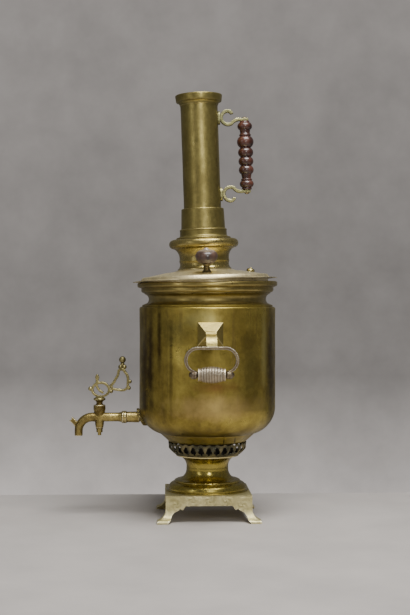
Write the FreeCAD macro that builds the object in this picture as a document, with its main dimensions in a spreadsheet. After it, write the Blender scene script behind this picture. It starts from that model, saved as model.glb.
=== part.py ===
import FreeCAD, Part
import math
import os
import Sketcher
from types import SimpleNamespace

# A charcoal-fired samovar of spun and cast brass, with a tall chimney in place.
# Millimetres, +Z up. The origin is where the vessel's axis meets the surface it stands on.
# The tap points towards -X, one side handle towards -Y and its twin towards +Y.
# The lid sits askew on the worn rim, so the lid and the chimney lean together towards -X.

SIZES = {
    # Plinth: a cast square stand on four splayed feet
    "plinth_half_width": 68.0,
    "plinth_height": 42.4,
    "plinth_top_thickness": 4.0,
    "plinth_wall": 5.0,
    "apron_height": 16.4,
    "arch_half_width": 37.0,
    "foot_reach": 82.5,
    "foot_pad_width": 17.5,
    # Pedestal and the pierced draft gallery on top of it
    "pedestal_height": 57.1,
    "pedestal_foot_radius": 66.2,
    "pedestal_step_radius": 52.4,
    "pedestal_neck_radius": 33.9,
    "pedestal_top_radius": 50.5,
    "pedestal_sheet": 1.5,
    "gallery_height": 21.0,
    "gallery_radius": 61.8,
    "gallery_sheet": 1.6,
    "gallery_hole_width": 7.4,
    "gallery_hole_height": 11.0,
    "gallery_holes": 30,
    # Vessel
    "body_radius": 110.0,
    "body_sheet": 1.4,
    "bowl_height": 57.5,
    "bowl_crease_radius": 76.0,
    "bowl_crease_height": 13.5,
    "drum_height": 155.5,
    "shoulder_height": 9.5,
    "rim_radius": 113.0,
    "rim_height": 33.0,
    "rim_foot_radius": 98.4,
    "mouth_radius": 95.2,
    "rim_sheet": 1.5,
    # Fire tube and grate inside the vessel
    "fire_tube_radius": 42.0,
    "fire_tube_sheet": 1.2,
    "fire_tube_foot": 18.5,
    "fire_tube_ledge": 5.0,
    "fire_tube_top_radius": 29.5,
    "fire_tube_rise": 57.0,
    "grate_thickness": 4.0,
    "grate_hole_radius": 3.2,
    # Tap
    "tap_height": 159.9,
    "tap_reach": 64.0,
    "tap_shank_radius": 7.1,
    "tap_flange_radius": 8.9,
    "tap_bore_radius": 3.6,
    "tap_barrel_radius": 9.6,
    "tap_barrel_top": 19.9,
    "tap_barrel_foot": 17.5,
    "plug_top_radius": 6.1,
    "plug_foot_radius": 4.1,
    "plug_neck_radius": 5.5,
    "plug_neck_length": 6.3,
    "plug_screw_radius": 2.8,
    "plug_screw_length": 11.4,
    "plug_washer_height": 0.9,
    "plug_nut_height": 5.6,
    "key_spindle_radius": 2.6,
    "spout_drop": 29.8,
    "spout_bend_radius": 21.5,
    "spout_run": 12.0,
    "spout_radius": 7.4,
    "nozzle_radius": 6.3,
    "rosette_radius": 14.0,
    "rosette_height": 4.5,
    "backnut_radius": 12.0,
    "backnut_thickness": 5.0,
    "backnut_depth": 12.6,
    # Key of the tap: an openwork casting on top of the plug
    "key_depth": 5.0,
    "key_band": 3.2,
    "key_ring_half_width": 15.3,
    "key_ring_half_height": 12.6,
    "key_collar_radius": 9.2,
    "key_collar_height": 6.0,
    "key_ball_radius": 5.0,
    # Side handles
    "bracket_height": 296.0,
    "bracket_width": 39.0,
    "bracket_stand": 16.0,
    "neck_width": 16.5,
    "neck_depth": 8.0,
    "grip_reach": 150.0,
    "grip_drop": 60.3,
    "stirrup_half_width": 40.7,
    "stirrup_rise": 42.0,
    "stirrup_thickness": 4.0,
    "stirrup_depth": 10.0,
    "stirrup_knuckle_radius": 6.2,
    "stirrup_knuckle_length": 11.0,
    "grip_radius": 13.2,
    "grip_half_length": 20.5,
    "grip_ribs": 11,
    "grip_rod_radius": 2.4,
    # Lid
    "lid_lean": 2.0,
    "lid_offset": -3.8,
    "lid_radius": 116.5,
    "lid_sheet": 1.5,
    "lid_flange_width": 13.0,
    "lid_step_height": 6.0,
    "lid_cone_radius": 63.0,
    "lid_cone_height": 12.4,
    "lid_crown_height": 15.8,
    "lid_hole_radius": 39.4,
    "lid_skirt_radius": 101.8,
    "lid_skirt_depth": 8.0,
    "lid_skirt_sheet": 1.2,
    # Collar on the lid, which carries the chimney
    "collar_foot_radius": 43.5,
    "collar_waist_radius": 40.6,
    "collar_torus_radius": 57.3,
    "collar_torus_height": 14.0,
    "collar_height": 50.0,
    "collar_lip_radius": 35.7,
    "collar_lip_height": 8.0,
    "collar_sheet": 1.4,
    # Lid knobs and steam vent
    "knob_circle_radius": 79.0,
    "knob_radius": 18.5,
    "knob_height": 24.6,
    "knob_stem_height": 14.0,
    "knob_spindle_radius": 2.5,
    "vent_circle_radius": 74.0,
    "vent_radius": 6.6,
    "vent_seat_height": 1.6,
    "vent_cap_height": 3.2,
    "vent_pin_radius": 1.4,
    # Chimney
    "socket_height": 48.4,
    "socket_foot_radius": 43.9,
    "socket_radius": 37.7,
    "socket_top_radius": 34.3,
    "socket_sheet": 1.2,
    "pipe_radius": 30.2,
    "pipe_sheet": 1.2,
    "pipe_height": 213.4,
    "pipe_insertion": 30.0,
    "top_ring_radius": 38.0,
    "top_ring_height": 17.0,
    # Chimney handle
    "handle_height": 133.0,
    "handle_reach": 73.0,
    "chimney_grip_length": 111.0,
    "chimney_grip_radius": 12.0,
    "arm_thickness": 4.4,
    "arm_depth": 8.0,
    "arm_curl_radius": 13.2,
    "lug_thickness": 3.0,
    "lug_height": 22.0,
    "lug_width": 15.0,
    "chimney_rod_radius": 2.4,
    # Clearances
    "seat_fit": 0.05,
    "running_fit": 0.06,
    "moving_gap": 0.3,
}


class Size:
    """A length: its number, and the words of the sheet expression that gives it."""

    def __init__(self, number, words):
        self.number = number
        self.words = words

    def __add__(self, other):
        return joined(self, "+", other, self.number + sized(other).number)

    def __radd__(self, other):
        return sized(other) + self

    def __sub__(self, other):
        return joined(self, "-", other, self.number - sized(other).number)

    def __rsub__(self, other):
        return sized(other) - self

    def __mul__(self, other):
        return joined(self, "*", other, self.number * sized(other).number)

    def __rmul__(self, other):
        return sized(other) * self

    def __truediv__(self, other):
        return joined(self, "/", other, self.number / sized(other).number)

    def __neg__(self):
        return Size(-self.number, f"(0 - {self.words})")


def sized(value):
    if isinstance(value, Size):
        return value
    return Size(float(value), f"({value:.5f})")


def joined(first, sign, second, number):
    return Size(number, f"({first.words} {sign} {sized(second).words})")


def sine(angle):
    return Size(math.sin(math.radians(angle.number)), f"sin({angle.words})")


def cosine(angle):
    return Size(math.cos(math.radians(angle.number)), f"cos({angle.words})")


def bind(thing, path, value):
    """Ties a property or a constraint to the sheet, where the value comes from it."""
    if "Sizes." in sized(value).words:
        thing.setExpression(path, sized(value).words)


doc = FreeCAD.newDocument("samovar")
sheet = doc.addObject("Spreadsheet::Sheet", "Sizes")
for row, (alias, number) in enumerate(SIZES.items(), start=1):
    sheet.set(f"A{row}", alias)
    sheet.set(f"B{row}", str(number))
    sheet.setAlias(f"B{row}", alias)
doc.recompute()
s = SimpleNamespace(**{a: Size(float(n), f"Sizes.{a}") for a, n in SIZES.items()})
pieces = []


# Outlines
# An outline is a list of (across, up) points, with a bend between two points that an arc joins.
# An outline runs with its solid on the left, so a swell bulges out and a hollow curves in.

class Bend:
    """An arc between two points. Its radius is a share of the straight distance between them."""

    def __init__(self, share, out):
        self.share = share
        self.out = out


def swell(share):
    return Bend(share, True)


def hollow(share):
    return Bend(share, False)


def backwards(outline):
    """The same line drawn the other way, on which a swell is a hollow."""
    return [Bend(p.share, not p.out) if isinstance(p, Bend) else p for p in reversed(outline)]


def mirrored(outline):
    """The line's mirror image across the upright axis, drawn so that the solid stays on its left."""
    return [p if isinstance(p, Bend) else (-sized(p[0]), p[1]) for p in reversed(outline)]


def upside_down(outline):
    """The line's mirror image across the level axis, drawn so that the solid stays on its left."""
    return [p if isinstance(p, Bend) else (p[0], -sized(p[1])) for p in reversed(outline)]


def spans(outline, closed):
    """Each stretch of a line as (start point, end point, bend or None)."""
    found = []
    bend = None
    previous = None
    for item in outline + ([outline[0]] if closed else []):
        if isinstance(item, Bend):
            bend = item
            continue
        if previous is not None:
            found.append((previous, item, bend))
        previous = item
        bend = None
    return found


def arc_of(start, end, bend):
    """Centre, radius and end angles of the arc between two points, counter-clockwise."""
    x0, y0 = (sized(v).number for v in start)
    x1, y1 = (sized(v).number for v in end)
    chord = math.hypot(x1 - x0, y1 - y0)
    radius = bend.share * chord
    rise = math.sqrt(max(radius ** 2 - chord ** 2 / 4, 0.0))
    side = 1 if bend.out else -1
    centre_x = (x0 + x1) / 2 - side * rise * (y1 - y0) / chord
    centre_y = (y0 + y1) / 2 + side * rise * (x1 - x0) / chord
    first = math.atan2(y0 - centre_y, x0 - centre_x)
    last = math.atan2(y1 - centre_y, x1 - centre_x)
    return (centre_x, centre_y), radius, (first, last) if bend.out else (last, first)


def headings(start, end, bend):
    """The directions in which a stretch leaves its start and reaches its end."""
    x0, y0 = (sized(v).number for v in start)
    x1, y1 = (sized(v).number for v in end)
    straight = math.atan2(y1 - y0, x1 - x0)
    if bend is None:
        return straight, straight
    turn = math.asin(min(1.0, 0.5 / bend.share)) * (1 if bend.out else -1)
    return straight - turn, straight + turn


def inset(outline, depth, closed=False):
    """The line that runs at a depth inside another one, point by point."""
    stretches = spans(outline, closed)
    points = [p for p in outline if not isinstance(p, Bend)]
    moved = []
    for index, point in enumerate(points):
        angles = []
        if index > 0 or closed:
            angles.append(headings(*stretches[index - 1])[1])
        if index < len(stretches):
            angles.append(headings(*stretches[index])[0])
        inward = [(-math.sin(a), math.cos(a)) for a in angles]
        middle_x = sum(v[0] for v in inward) / len(inward)
        middle_y = sum(v[1] for v in inward) / len(inward)
        length = max(middle_x ** 2 + middle_y ** 2, 0.4)
        across = round(middle_x / length, 4)
        up = round(middle_y / length, 4)
        moved.append((sized(point[0]) + depth * across, sized(point[1]) + depth * up))
    inner = []
    for item in outline:
        inner.append(item if isinstance(item, Bend) else moved.pop(0))
    return inner


def sheet_outline(outline, thickness):
    """The closed outline of a sheet whose outer face follows an open line."""
    return outline + backwards(inset(outline, thickness))


# Features

def origin_plane(body, role):
    return [f for f in body.Origin.OriginFeatures if f.Role == role][0]


def draw(sketch, outline):
    """Draws a closed outline, with each point and radius held by a constraint."""
    stretches = spans(outline, closed=True)
    first = sketch.GeometryCount
    edges = []
    ends = []
    for start, end, bend in stretches:
        if bend is None:
            corners = [FreeCAD.Vector(sized(p[0]).number, sized(p[1]).number) for p in (start, end)]
            edges.append(Part.LineSegment(*corners))
            ends.append((1, 2))
        else:
            centre, radius, (low, high) = arc_of(start, end, bend)
            circle = Part.Circle(FreeCAD.Vector(*centre), FreeCAD.Vector(0, 0, 1), radius)
            edges.append(Part.ArcOfCircle(circle, low, high))
            ends.append((1, 2) if bend.out else (2, 1))
    sketch.addGeometry(edges)
    for index, (start, end, bend) in enumerate(stretches):
        edge = first + index
        following = (index + 1) % len(stretches)
        sketch.addConstraint(
            Sketcher.Constraint("Coincident", edge, ends[index][1], first + following, ends[following][0])
        )
        for kind, value, axis in (("DistanceX", start[0], -2), ("DistanceY", start[1], -1)):
            if abs(sized(value).number) < 1e-9:
                sketch.addConstraint(Sketcher.Constraint("PointOnObject", edge, ends[index][0], axis))
                continue
            made = sketch.addConstraint(
                Sketcher.Constraint(kind, -1, 1, edge, ends[index][0], sized(value).number)
            )
            name_constraint(sketch, made, f"{kind[-1].lower()}{edge}", value)
        if bend is not None:
            across = sized(end[0]) - start[0]
            up = sized(end[1]) - start[1]
            chord = Size(math.hypot(across.number, up.number), f"sqrt({across.words}^2 + {up.words}^2)")
            made = sketch.addConstraint(Sketcher.Constraint("Radius", edge, chord.number * bend.share))
            name_constraint(sketch, made, f"r{edge}", chord * bend.share)


def draw_circle(sketch, across, up, radius):
    centre = FreeCAD.Vector(sized(across).number, sized(up).number)
    edge = sketch.addGeometry(Part.Circle(centre, FreeCAD.Vector(0, 0, 1), sized(radius).number))
    for kind, value, axis in (("DistanceX", across, -2), ("DistanceY", up, -1)):
        if abs(sized(value).number) < 1e-9:
            sketch.addConstraint(Sketcher.Constraint("PointOnObject", edge, 3, axis))
            continue
        made = sketch.addConstraint(Sketcher.Constraint(kind, -1, 1, edge, 3, sized(value).number))
        name_constraint(sketch, made, f"{kind[-1].lower()}{edge}", value)
    made = sketch.addConstraint(Sketcher.Constraint("Radius", edge, sized(radius).number))
    name_constraint(sketch, made, f"r{edge}", radius)


def name_constraint(sketch, index, name, value):
    sketch.renameConstraint(index, name)
    bind(sketch, f"Constraints.{name}", value)


def new_body(label, seat=None):
    body = doc.addObject("PartDesign::Body", label)
    if seat is not None:
        seat_piece(body, seat)
    pieces.append(body)
    return body


def seat_piece(piece, seat):
    base, turn = seat
    piece.Placement = FreeCAD.Placement(FreeCAD.Vector(*[sized(v).number for v in base]), turn)
    for axis, value in zip("xyz", base):
        bind(piece, f".Placement.Base.{axis}", value)


def new_sketch(body, role, outlines=(), circles=(), offset=None):
    sketch = body.newObject("Sketcher::SketchObject", body.Name + "_sketch")
    sketch.AttachmentSupport = [(origin_plane(body, role), "")]
    sketch.MapMode = "FlatFace"
    if offset is not None:
        sketch.AttachmentOffset = FreeCAD.Placement(
            FreeCAD.Vector(0, 0, sized(offset).number), FreeCAD.Rotation()
        )
        bind(sketch, ".AttachmentOffset.Base.z", offset)
    for outline in outlines:
        draw(sketch, outline)
    for circle in circles:
        draw_circle(sketch, *circle)
    return sketch


def revolve(body, sketch, axis="V_Axis", kind="Revolution"):
    turned = body.newObject("PartDesign::" + kind, body.Name + "_turned")
    turned.Profile = (sketch, [""])
    turned.ReferenceAxis = (sketch, [axis])
    turned.Angle = 360
    sketch.Visibility = False
    return turned


def extrude(body, sketch, length=None, kind="Pad", side="Symmetric", reverse=False):
    """Pads or pockets a sketch. A pocket without a length goes right through."""
    pushed = body.newObject("PartDesign::" + kind, body.Name + "_" + kind.lower())
    pushed.Profile = sketch
    pushed.SideType = side
    pushed.Reversed = reverse
    if length is None:
        pushed.Type = "ThroughAll"
    else:
        pushed.Length = sized(length).number
        bind(pushed, "Length", length)
    return pushed


def turned_piece(label, outline, seat=None):
    body = new_body(label, seat)
    revolve(body, new_sketch(body, "XZ_Plane", [outline]))
    return body


def level(height):
    """A level seat on the vessel's axis."""
    return (0, 0, height), FreeCAD.Rotation()


def ball(body, across, depth, up, radius):
    """Adds a solid ball to a body."""
    sphere = body.newObject("PartDesign::AdditiveSphere", body.Name + "_ball")
    sphere.Radius = sized(radius).number
    bind(sphere, "Radius", radius)
    sphere.AttachmentSupport = [(origin_plane(body, "XY_Plane"), "")]
    sphere.MapMode = "FlatFace"
    sphere.AttachmentOffset = FreeCAD.Placement(
        FreeCAD.Vector(*[sized(v).number for v in (across, depth, up)]), FreeCAD.Rotation()
    )
    for axis, value in zip("xyz", (across, depth, up)):
        bind(sphere, f".AttachmentOffset.Base.{axis}", value)


# Plinth
# One casting: a square tray upside down, each side an arched apron between two splayed feet.

leg_height = s.plinth_height - s.apron_height
pad_inner = s.foot_reach - s.foot_pad_width
ankle_inner = s.plinth_half_width - 19.0
arch_side = [
    (s.arch_half_width, leg_height),
    (s.arch_half_width + 2.0, leg_height - 4.6),
    swell(0.56),
    (s.arch_half_width + 7.6, leg_height - 4.8),
    (ankle_inner, leg_height * 0.7),
    hollow(0.95),
    (pad_inner - 5.0, leg_height * 0.2),
    (pad_inner, 0),
]
outer_side = [
    (s.foot_reach, 0),
    (s.foot_reach, 1.6),
    swell(0.8),
    (s.foot_reach - 3.4, 5.8),
    hollow(0.85),
    (s.plinth_half_width, leg_height * 0.84),
    (s.plinth_half_width, s.plinth_height),
]
right_side = arch_side + outer_side

plinth_base = new_body("plinth_base")
front_view = new_sketch(plinth_base, "XZ_Plane", [right_side + mirrored(right_side)])
extrude(plinth_base, front_view, s.foot_reach * 2)
below = [(pad_inner, -1.0), (-pad_inner, -1.0)]
arch = backwards(arch_side) + backwards(mirrored(arch_side)) + [below[1], below[0]]
beside = outer_side[1:] + [
    (s.plinth_half_width, s.plinth_height + 1.0),
    (s.foot_reach + 1.0, s.plinth_height + 1.0),
    (s.foot_reach + 1.0, 1.6),
]
side_cut = new_sketch(plinth_base, "YZ_Plane", [arch, beside, mirrored(beside)])
extrude(plinth_base, side_cut, kind="Pocket")
hollow_half = s.plinth_half_width - s.plinth_wall
square = [(hollow_half, hollow_half), (-hollow_half, hollow_half),
          (-hollow_half, -hollow_half), (hollow_half, -hollow_half)]
extrude(plinth_base, new_sketch(plinth_base, "XY_Plane", [square]),
        s.plinth_height - s.plinth_top_thickness, kind="Pocket", side="One side", reverse=True)

# Pedestal
# Spun sheet: a quarter-round foot, a step, and a waist that flares up to carry the gallery.

pedestal_line = [
    (s.pedestal_foot_radius, 0),
    (s.pedestal_foot_radius, 2.3),
    swell(0.66),
    (s.pedestal_step_radius, s.pedestal_height * 0.255),
    swell(0.6),
    (s.pedestal_step_radius - 1.6, s.pedestal_height * 0.31),
    hollow(0.68),
    (s.pedestal_neck_radius, s.pedestal_height * 0.62),
    hollow(0.665),
    (s.pedestal_top_radius, s.pedestal_height - 1.6),
    (s.pedestal_top_radius, s.pedestal_height),
]
turned_piece("foot_pedestal", sheet_outline(pedestal_line, s.pedestal_sheet), level(s.plinth_height))

# Draft gallery
# A flared band that lets air in under the fire, pierced all round with spade-shaped holes.

gallery_foot = s.plinth_height + s.pedestal_height
gallery_line = [
    (s.pedestal_top_radius, 0),
    (s.pedestal_top_radius, 0.8),
    swell(0.9),
    (s.gallery_radius, s.gallery_height * 0.5),
    swell(1.6),
    (s.gallery_radius - 1.1, s.gallery_height),
]
gallery_outline = sheet_outline(gallery_line, s.gallery_sheet)
draft_gallery = turned_piece("draft_gallery", gallery_outline, level(gallery_foot))
hole_low = (s.gallery_height - s.gallery_hole_height) * 0.5
hole_half = s.gallery_hole_width / 2
hole_side = [
    (hole_half * 0.32, hole_low),
    (hole_half * 0.42, hole_low + s.gallery_hole_height * 0.3),
    swell(0.6),
    (hole_half, hole_low + s.gallery_hole_height * 0.5),
    swell(0.72),
    (hole_half * 0.3, hole_low + s.gallery_hole_height * 0.87),
    (0, hole_low + s.gallery_hole_height),
]
punch_depth = s.gallery_sheet * 5
spade = new_sketch(draft_gallery, "XZ_Plane", [hole_side + mirrored(hole_side)[1:]],
                   offset=s.gallery_radius + 1.0)
pierced = extrude(draft_gallery, spade, punch_depth, kind="Pocket", side="One side")
pattern = draft_gallery.newObject("PartDesign::PolarPattern", "gallery_holes")
pattern.Originals = [pierced]
pattern.Axis = (origin_plane(draft_gallery, "Z_Axis"), [""])
pattern.Angle = 360
pattern.Occurrences = SIZES["gallery_holes"]
bind(pattern, "Occurrences", s.gallery_holes)
draft_gallery.Tip = pattern

# Vessel wall
# Spun sheet: a flat bottom ring soldered round the fire tube, a bowl with a crease, and a drum.

body_foot = gallery_foot + s.gallery_height
drum_top = s.bowl_height + s.drum_height
shoulder_top = drum_top + s.shoulder_height
body_line = [
    (s.fire_tube_radius + s.seat_fit, 0),
    (s.gallery_radius - 0.3, 0),
    (s.bowl_crease_radius, s.bowl_crease_height),
    swell(0.807),
    (s.body_radius, s.bowl_height),
    (s.body_radius, drum_top),
    swell(0.62),
    (s.body_radius - 4.6, drum_top + s.shoulder_height * 0.45),
    swell(0.56),
    (s.body_radius - 7.0, drum_top + s.shoulder_height * 0.8),
    (s.rim_foot_radius + 0.6, shoulder_top),
    (s.mouth_radius, shoulder_top),
]
body_wall = turned_piece("body_wall", sheet_outline(body_line, s.body_sheet), level(body_foot))
tap_above_foot = s.tap_height - body_foot
tap_hole = new_sketch(body_wall, "YZ_Plane", circles=[(0, tap_above_foot, s.tap_shank_radius + s.seat_fit)])
extrude(body_wall, tap_hole, s.body_radius + 5.0, kind="Pocket", side="One side")

# Neck and rim
# A separate spun ring on the shoulder: a deep cove, a half-round band and a rolled top edge.

rim_foot = body_foot + shoulder_top
rim_line = [
    (s.mouth_radius, 0),
    (s.rim_foot_radius, 0),
    hollow(0.56),
    (s.rim_radius - 12.6, s.rim_height * 0.44),
    (s.rim_radius - 11.0, s.rim_height * 0.475),
    (s.rim_radius - 11.0, s.rim_height * 0.51),
    swell(0.58),
    (s.rim_radius - 6.2, s.rim_height * 0.69),
    (s.rim_radius - 6.2, s.rim_height * 0.73),
    (s.rim_radius - 3.4, s.rim_height * 0.765),
    swell(0.6),
    (s.rim_radius, s.rim_height * 0.9),
    swell(0.62),
    (s.rim_radius - 2.4, s.rim_height),
    (s.rim_radius - 4.4, s.rim_height),
]
turned_piece("neck_rim", sheet_outline(rim_line, s.rim_sheet), level(rim_foot))
rim_top = rim_foot + s.rim_height

# Fire tube
# The charcoal burns in this tube. It stands through the water and narrows towards the chimney.

tube_top = s.rim_height + shoulder_top + s.fire_tube_rise
tube_line = [
    (s.fire_tube_radius - s.fire_tube_ledge, -s.fire_tube_foot),
    (s.fire_tube_radius, -s.fire_tube_foot),
    (s.fire_tube_radius, shoulder_top - 46.0),
    (s.fire_tube_top_radius, shoulder_top),
    (s.fire_tube_top_radius, tube_top),
]
turned_piece("fire_tube", sheet_outline(tube_line, s.fire_tube_sheet), level(body_foot))

# Grate
# A loose cast disc with air holes, which lies on the ledge at the foot of the fire tube.

grate_radius = s.fire_tube_radius - s.fire_tube_sheet - 0.5
grate = turned_piece(
    "grate",
    [(0, 0), (grate_radius, 0), (grate_radius, s.grate_thickness), (0, s.grate_thickness)],
    level(body_foot - s.fire_tube_foot + s.fire_tube_sheet),
)
air_holes = []
for circle_share, count in ((0.0, 1), (0.34, 6), (0.7, 12)):
    for turn in range(count):
        angle = 2 * math.pi * turn / count
        air_holes.append((
            grate_radius * round(circle_share * math.cos(angle), 4),
            grate_radius * round(circle_share * math.sin(angle), 4),
            s.grate_hole_radius,
        ))
extrude(grate, new_sketch(grate, "XY_Plane", circles=air_holes), kind="Pocket")

# Tap
# A cast cock: shank, tapered barrel, bent spout with a hanging leaf. Its frame is the barrel's axis.

tap_seat = ((-(s.body_radius + s.tap_reach), 0, s.tap_height), FreeCAD.Rotation())
shank_end = s.tap_reach + s.backnut_depth + s.backnut_thickness + 3.0
tap_body = new_body("tap_body", tap_seat)
barrel = [
    (0, -s.tap_barrel_foot),
    (s.tap_barrel_radius - 3.8, -s.tap_barrel_foot),
    (s.tap_barrel_radius - 2.5, -s.tap_barrel_foot * 0.62),
    (s.tap_barrel_radius - 2.5, 0),
    (s.tap_barrel_radius - 0.9, s.tap_barrel_top * 0.46),
    (s.tap_barrel_radius, s.tap_barrel_top * 0.6),
    (s.tap_barrel_radius, s.tap_barrel_top - 1.4),
    swell(0.72),
    (s.tap_barrel_radius - 1.2, s.tap_barrel_top),
    (0, s.tap_barrel_top),
]
revolve(tap_body, new_sketch(tap_body, "XZ_Plane", [barrel]))
shank = [(0, s.tap_shank_radius), (0, 0), (shank_end, 0), (shank_end, s.tap_shank_radius),
         (s.tap_reach, s.tap_shank_radius), (s.tap_reach, s.tap_flange_radius),
         (s.tap_reach - 20.4, s.tap_flange_radius - 0.5)]
for bead in range(3):
    bead_end = s.tap_reach - 20.6 - bead * 2.6
    shank += [(bead_end, s.tap_flange_radius + 0.4), swell(0.54),
              (bead_end - 2.2, s.tap_flange_radius + 0.4), (bead_end - 2.4, s.tap_flange_radius - 0.6)]
shank += [(s.tap_reach - 34.0, s.tap_shank_radius)]
revolve(tap_body, new_sketch(tap_body, "XZ_Plane", [shank]), axis="H_Axis")
bend_start = -s.spout_run
spout_x = -(s.spout_run + s.spout_bend_radius)


def spout_route(body):
    """The spout's centre line: out level, round a quarter turn, and down to the nozzle."""
    route = body.newObject("Sketcher::SketchObject", body.Name + "_route")
    route.AttachmentSupport = [(origin_plane(body, "XZ_Plane"), "")]
    route.MapMode = "FlatFace"
    bend = s.spout_bend_radius.number
    run = s.spout_run.number
    drop = s.spout_drop.number
    route.addGeometry(Part.LineSegment(FreeCAD.Vector(0, 0), FreeCAD.Vector(-run, 0)))
    circle = Part.Circle(FreeCAD.Vector(-run, -bend), FreeCAD.Vector(0, 0, 1), bend)
    route.addGeometry(Part.ArcOfCircle(circle, math.pi / 2, math.pi))
    bend_end = FreeCAD.Vector(-run - bend, -bend)
    route.addGeometry(Part.LineSegment(bend_end, FreeCAD.Vector(-run - bend, -drop)))
    for constraint in (
        ("Coincident", 0, 1, -1, 1),
        ("PointOnObject", 0, 2, -1),
        ("Coincident", 0, 2, 1, 1),
        ("Coincident", 1, 2, 2, 1),
    ):
        route.addConstraint(Sketcher.Constraint(*constraint))
    for kind, edge, corner, value in (
        ("DistanceX", 0, 2, bend_start),
        ("DistanceX", 1, 2, spout_x),
        ("DistanceY", 1, 2, -s.spout_bend_radius),
        ("DistanceX", 2, 2, spout_x),
        ("DistanceY", 2, 2, -s.spout_drop),
    ):
        made = route.addConstraint(Sketcher.Constraint(kind, -1, 1, edge, corner, value.number))
        name_constraint(route, made, f"{kind[-1].lower()}{edge}", value)
    made = route.addConstraint(Sketcher.Constraint("Radius", 1, bend))
    name_constraint(route, made, "bend", s.spout_bend_radius)
    return route


def along_spout(body, kind, start_radius, end_radius):
    pipe = body.newObject("PartDesign::" + kind, body.Name + "_" + kind.lower())
    pipe.Profile = new_sketch(body, "YZ_Plane", circles=[(0, 0, start_radius)])
    pipe.Spine = (spout_route(body), [])
    pipe.Transformation = "Multisection"
    end = new_sketch(body, "XY_Plane", circles=[(spout_x, 0, end_radius)], offset=-s.spout_drop)
    pipe.Sections = [(end, [""])]
    return pipe


along_spout(tap_body, "AdditivePipe", s.spout_radius, s.nozzle_radius)
leaf_root = -s.spout_drop * 0.66
leaf_line = [
    (spout_x + 2.0, leaf_root - 3.0),
    (spout_x - 4.0, leaf_root - 1.6),
    swell(1.1),
    (spout_x - 16.6, leaf_root + 14.6),
    swell(0.54),
    (spout_x - 11.6, leaf_root + 20.8),
    hollow(1.3),
    (spout_x, leaf_root + 7.0),
    (spout_x + 2.0, leaf_root + 5.0),
]
extrude(tap_body, new_sketch(tap_body, "XZ_Plane", [backwards(leaf_line)]), 5.2)
bore_top = s.plug_top_radius + s.running_fit
bore_foot = s.plug_foot_radius + s.running_fit
plug_bore = [(0, -s.tap_barrel_foot), (bore_foot, -s.tap_barrel_foot), (bore_top, s.tap_barrel_top),
             (0, s.tap_barrel_top)]
revolve(tap_body, new_sketch(tap_body, "XZ_Plane", [plug_bore]), kind="Groove")
water_bore = [(0, 0), (shank_end, 0), (shank_end, s.tap_bore_radius), (0, s.tap_bore_radius)]
revolve(tap_body, new_sketch(tap_body, "XZ_Plane", [water_bore]), axis="H_Axis", kind="Groove")
along_spout(tap_body, "SubtractivePipe", s.tap_bore_radius, s.nozzle_radius - 1.8)

# Rosette, wedge gasket and back nut
# The rosette is cast to the curve of the bowl. Inside, a wedge of packed leather gives the nut a
# flat seat, and the nut pulls the tap tight.


def outward(outline):
    """Turns (radius, distance out from the drum) points to lie along the tap's line."""
    return [p if isinstance(p, Bend) else (-(s.body_radius + p[1]), p[0]) for p in outline]


def around_tap(label, outline):
    """A piece turned about the tap's line, in a frame level with it on the vessel's axis."""
    body = new_body(label, level(s.tap_height))
    revolve(body, new_sketch(body, "XZ_Plane", [outward(outline)]), axis="H_Axis")
    return body


def beside_tap(outline):
    """Part of the wall's outline, seen from the tap's height."""
    return [p if isinstance(p, Bend) else (p[0], sized(p[1]) - tap_above_foot) for p in outline]


rosette_hole = s.tap_flange_radius + s.seat_fit
rosette_outline = [(rosette_hole, -18.0), (s.rosette_radius, -18.0),
                   (s.rosette_radius, 8.0), (rosette_hole, 8.0)]
tap_rosette = around_tap("tap_rosette", rosette_outline)
rosette_face = beside_tap(inset(body_line, -s.rosette_height)[2:6])
rosette_edge = s.body_radius + 20.0
past_rosette = [(rosette_edge, rosette_face[0][1]), (rosette_edge, rosette_face[-1][1])]
past_rosette += backwards(rosette_face)
revolve(tap_rosette, new_sketch(tap_rosette, "XZ_Plane", [past_rosette]), kind="Groove")
outer_wall = beside_tap(inset(body_line, -s.seat_fit)[2:6])
filled_vessel = [(0, outer_wall[0][1])] + outer_wall + [(0, outer_wall[-1][1])]
revolve(tap_rosette, new_sketch(tap_rosette, "XZ_Plane", [filled_vessel]), kind="Groove")
nut_bore = s.tap_shank_radius + s.seat_fit
gasket_line = [(nut_bore, -s.backnut_depth), (s.backnut_radius, -s.backnut_depth),
               (s.backnut_radius, 1.5), (nut_bore, 1.5)]
tap_gasket = around_tap("tap_gasket", gasket_line)
inner_wall = beside_tap(inset(body_line, s.body_sheet + s.seat_fit)[2:6])
beyond = s.body_radius + 8.0
beyond_wall = [(beyond, inner_wall[0][1]), (beyond, inner_wall[-1][1])] + backwards(inner_wall)
revolve(tap_gasket, new_sketch(tap_gasket, "XZ_Plane", [beyond_wall]), kind="Groove")
nut_face = -(s.body_radius - s.backnut_depth)
outward_turn = FreeCAD.Rotation(FreeCAD.Vector(0, 1, 0), -90)
tap_backnut = new_body("tap_backnut", ((nut_face, 0, s.tap_height), outward_turn))


def hexagon(radius):
    corners = [math.pi * side / 3 for side in range(6)]
    return [(radius * round(math.cos(a), 4), radius * round(math.sin(a), 4)) for a in corners]


nut_sketch = new_sketch(tap_backnut, "XY_Plane", [hexagon(s.backnut_radius)], circles=[(0, 0, nut_bore)])
extrude(tap_backnut, nut_sketch, s.backnut_thickness, side="One side", reverse=True)

# Plug, washer and nut of the tap
# The tapered plug turns in the barrel. Its cross hole opens the flow after a quarter turn.

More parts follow.
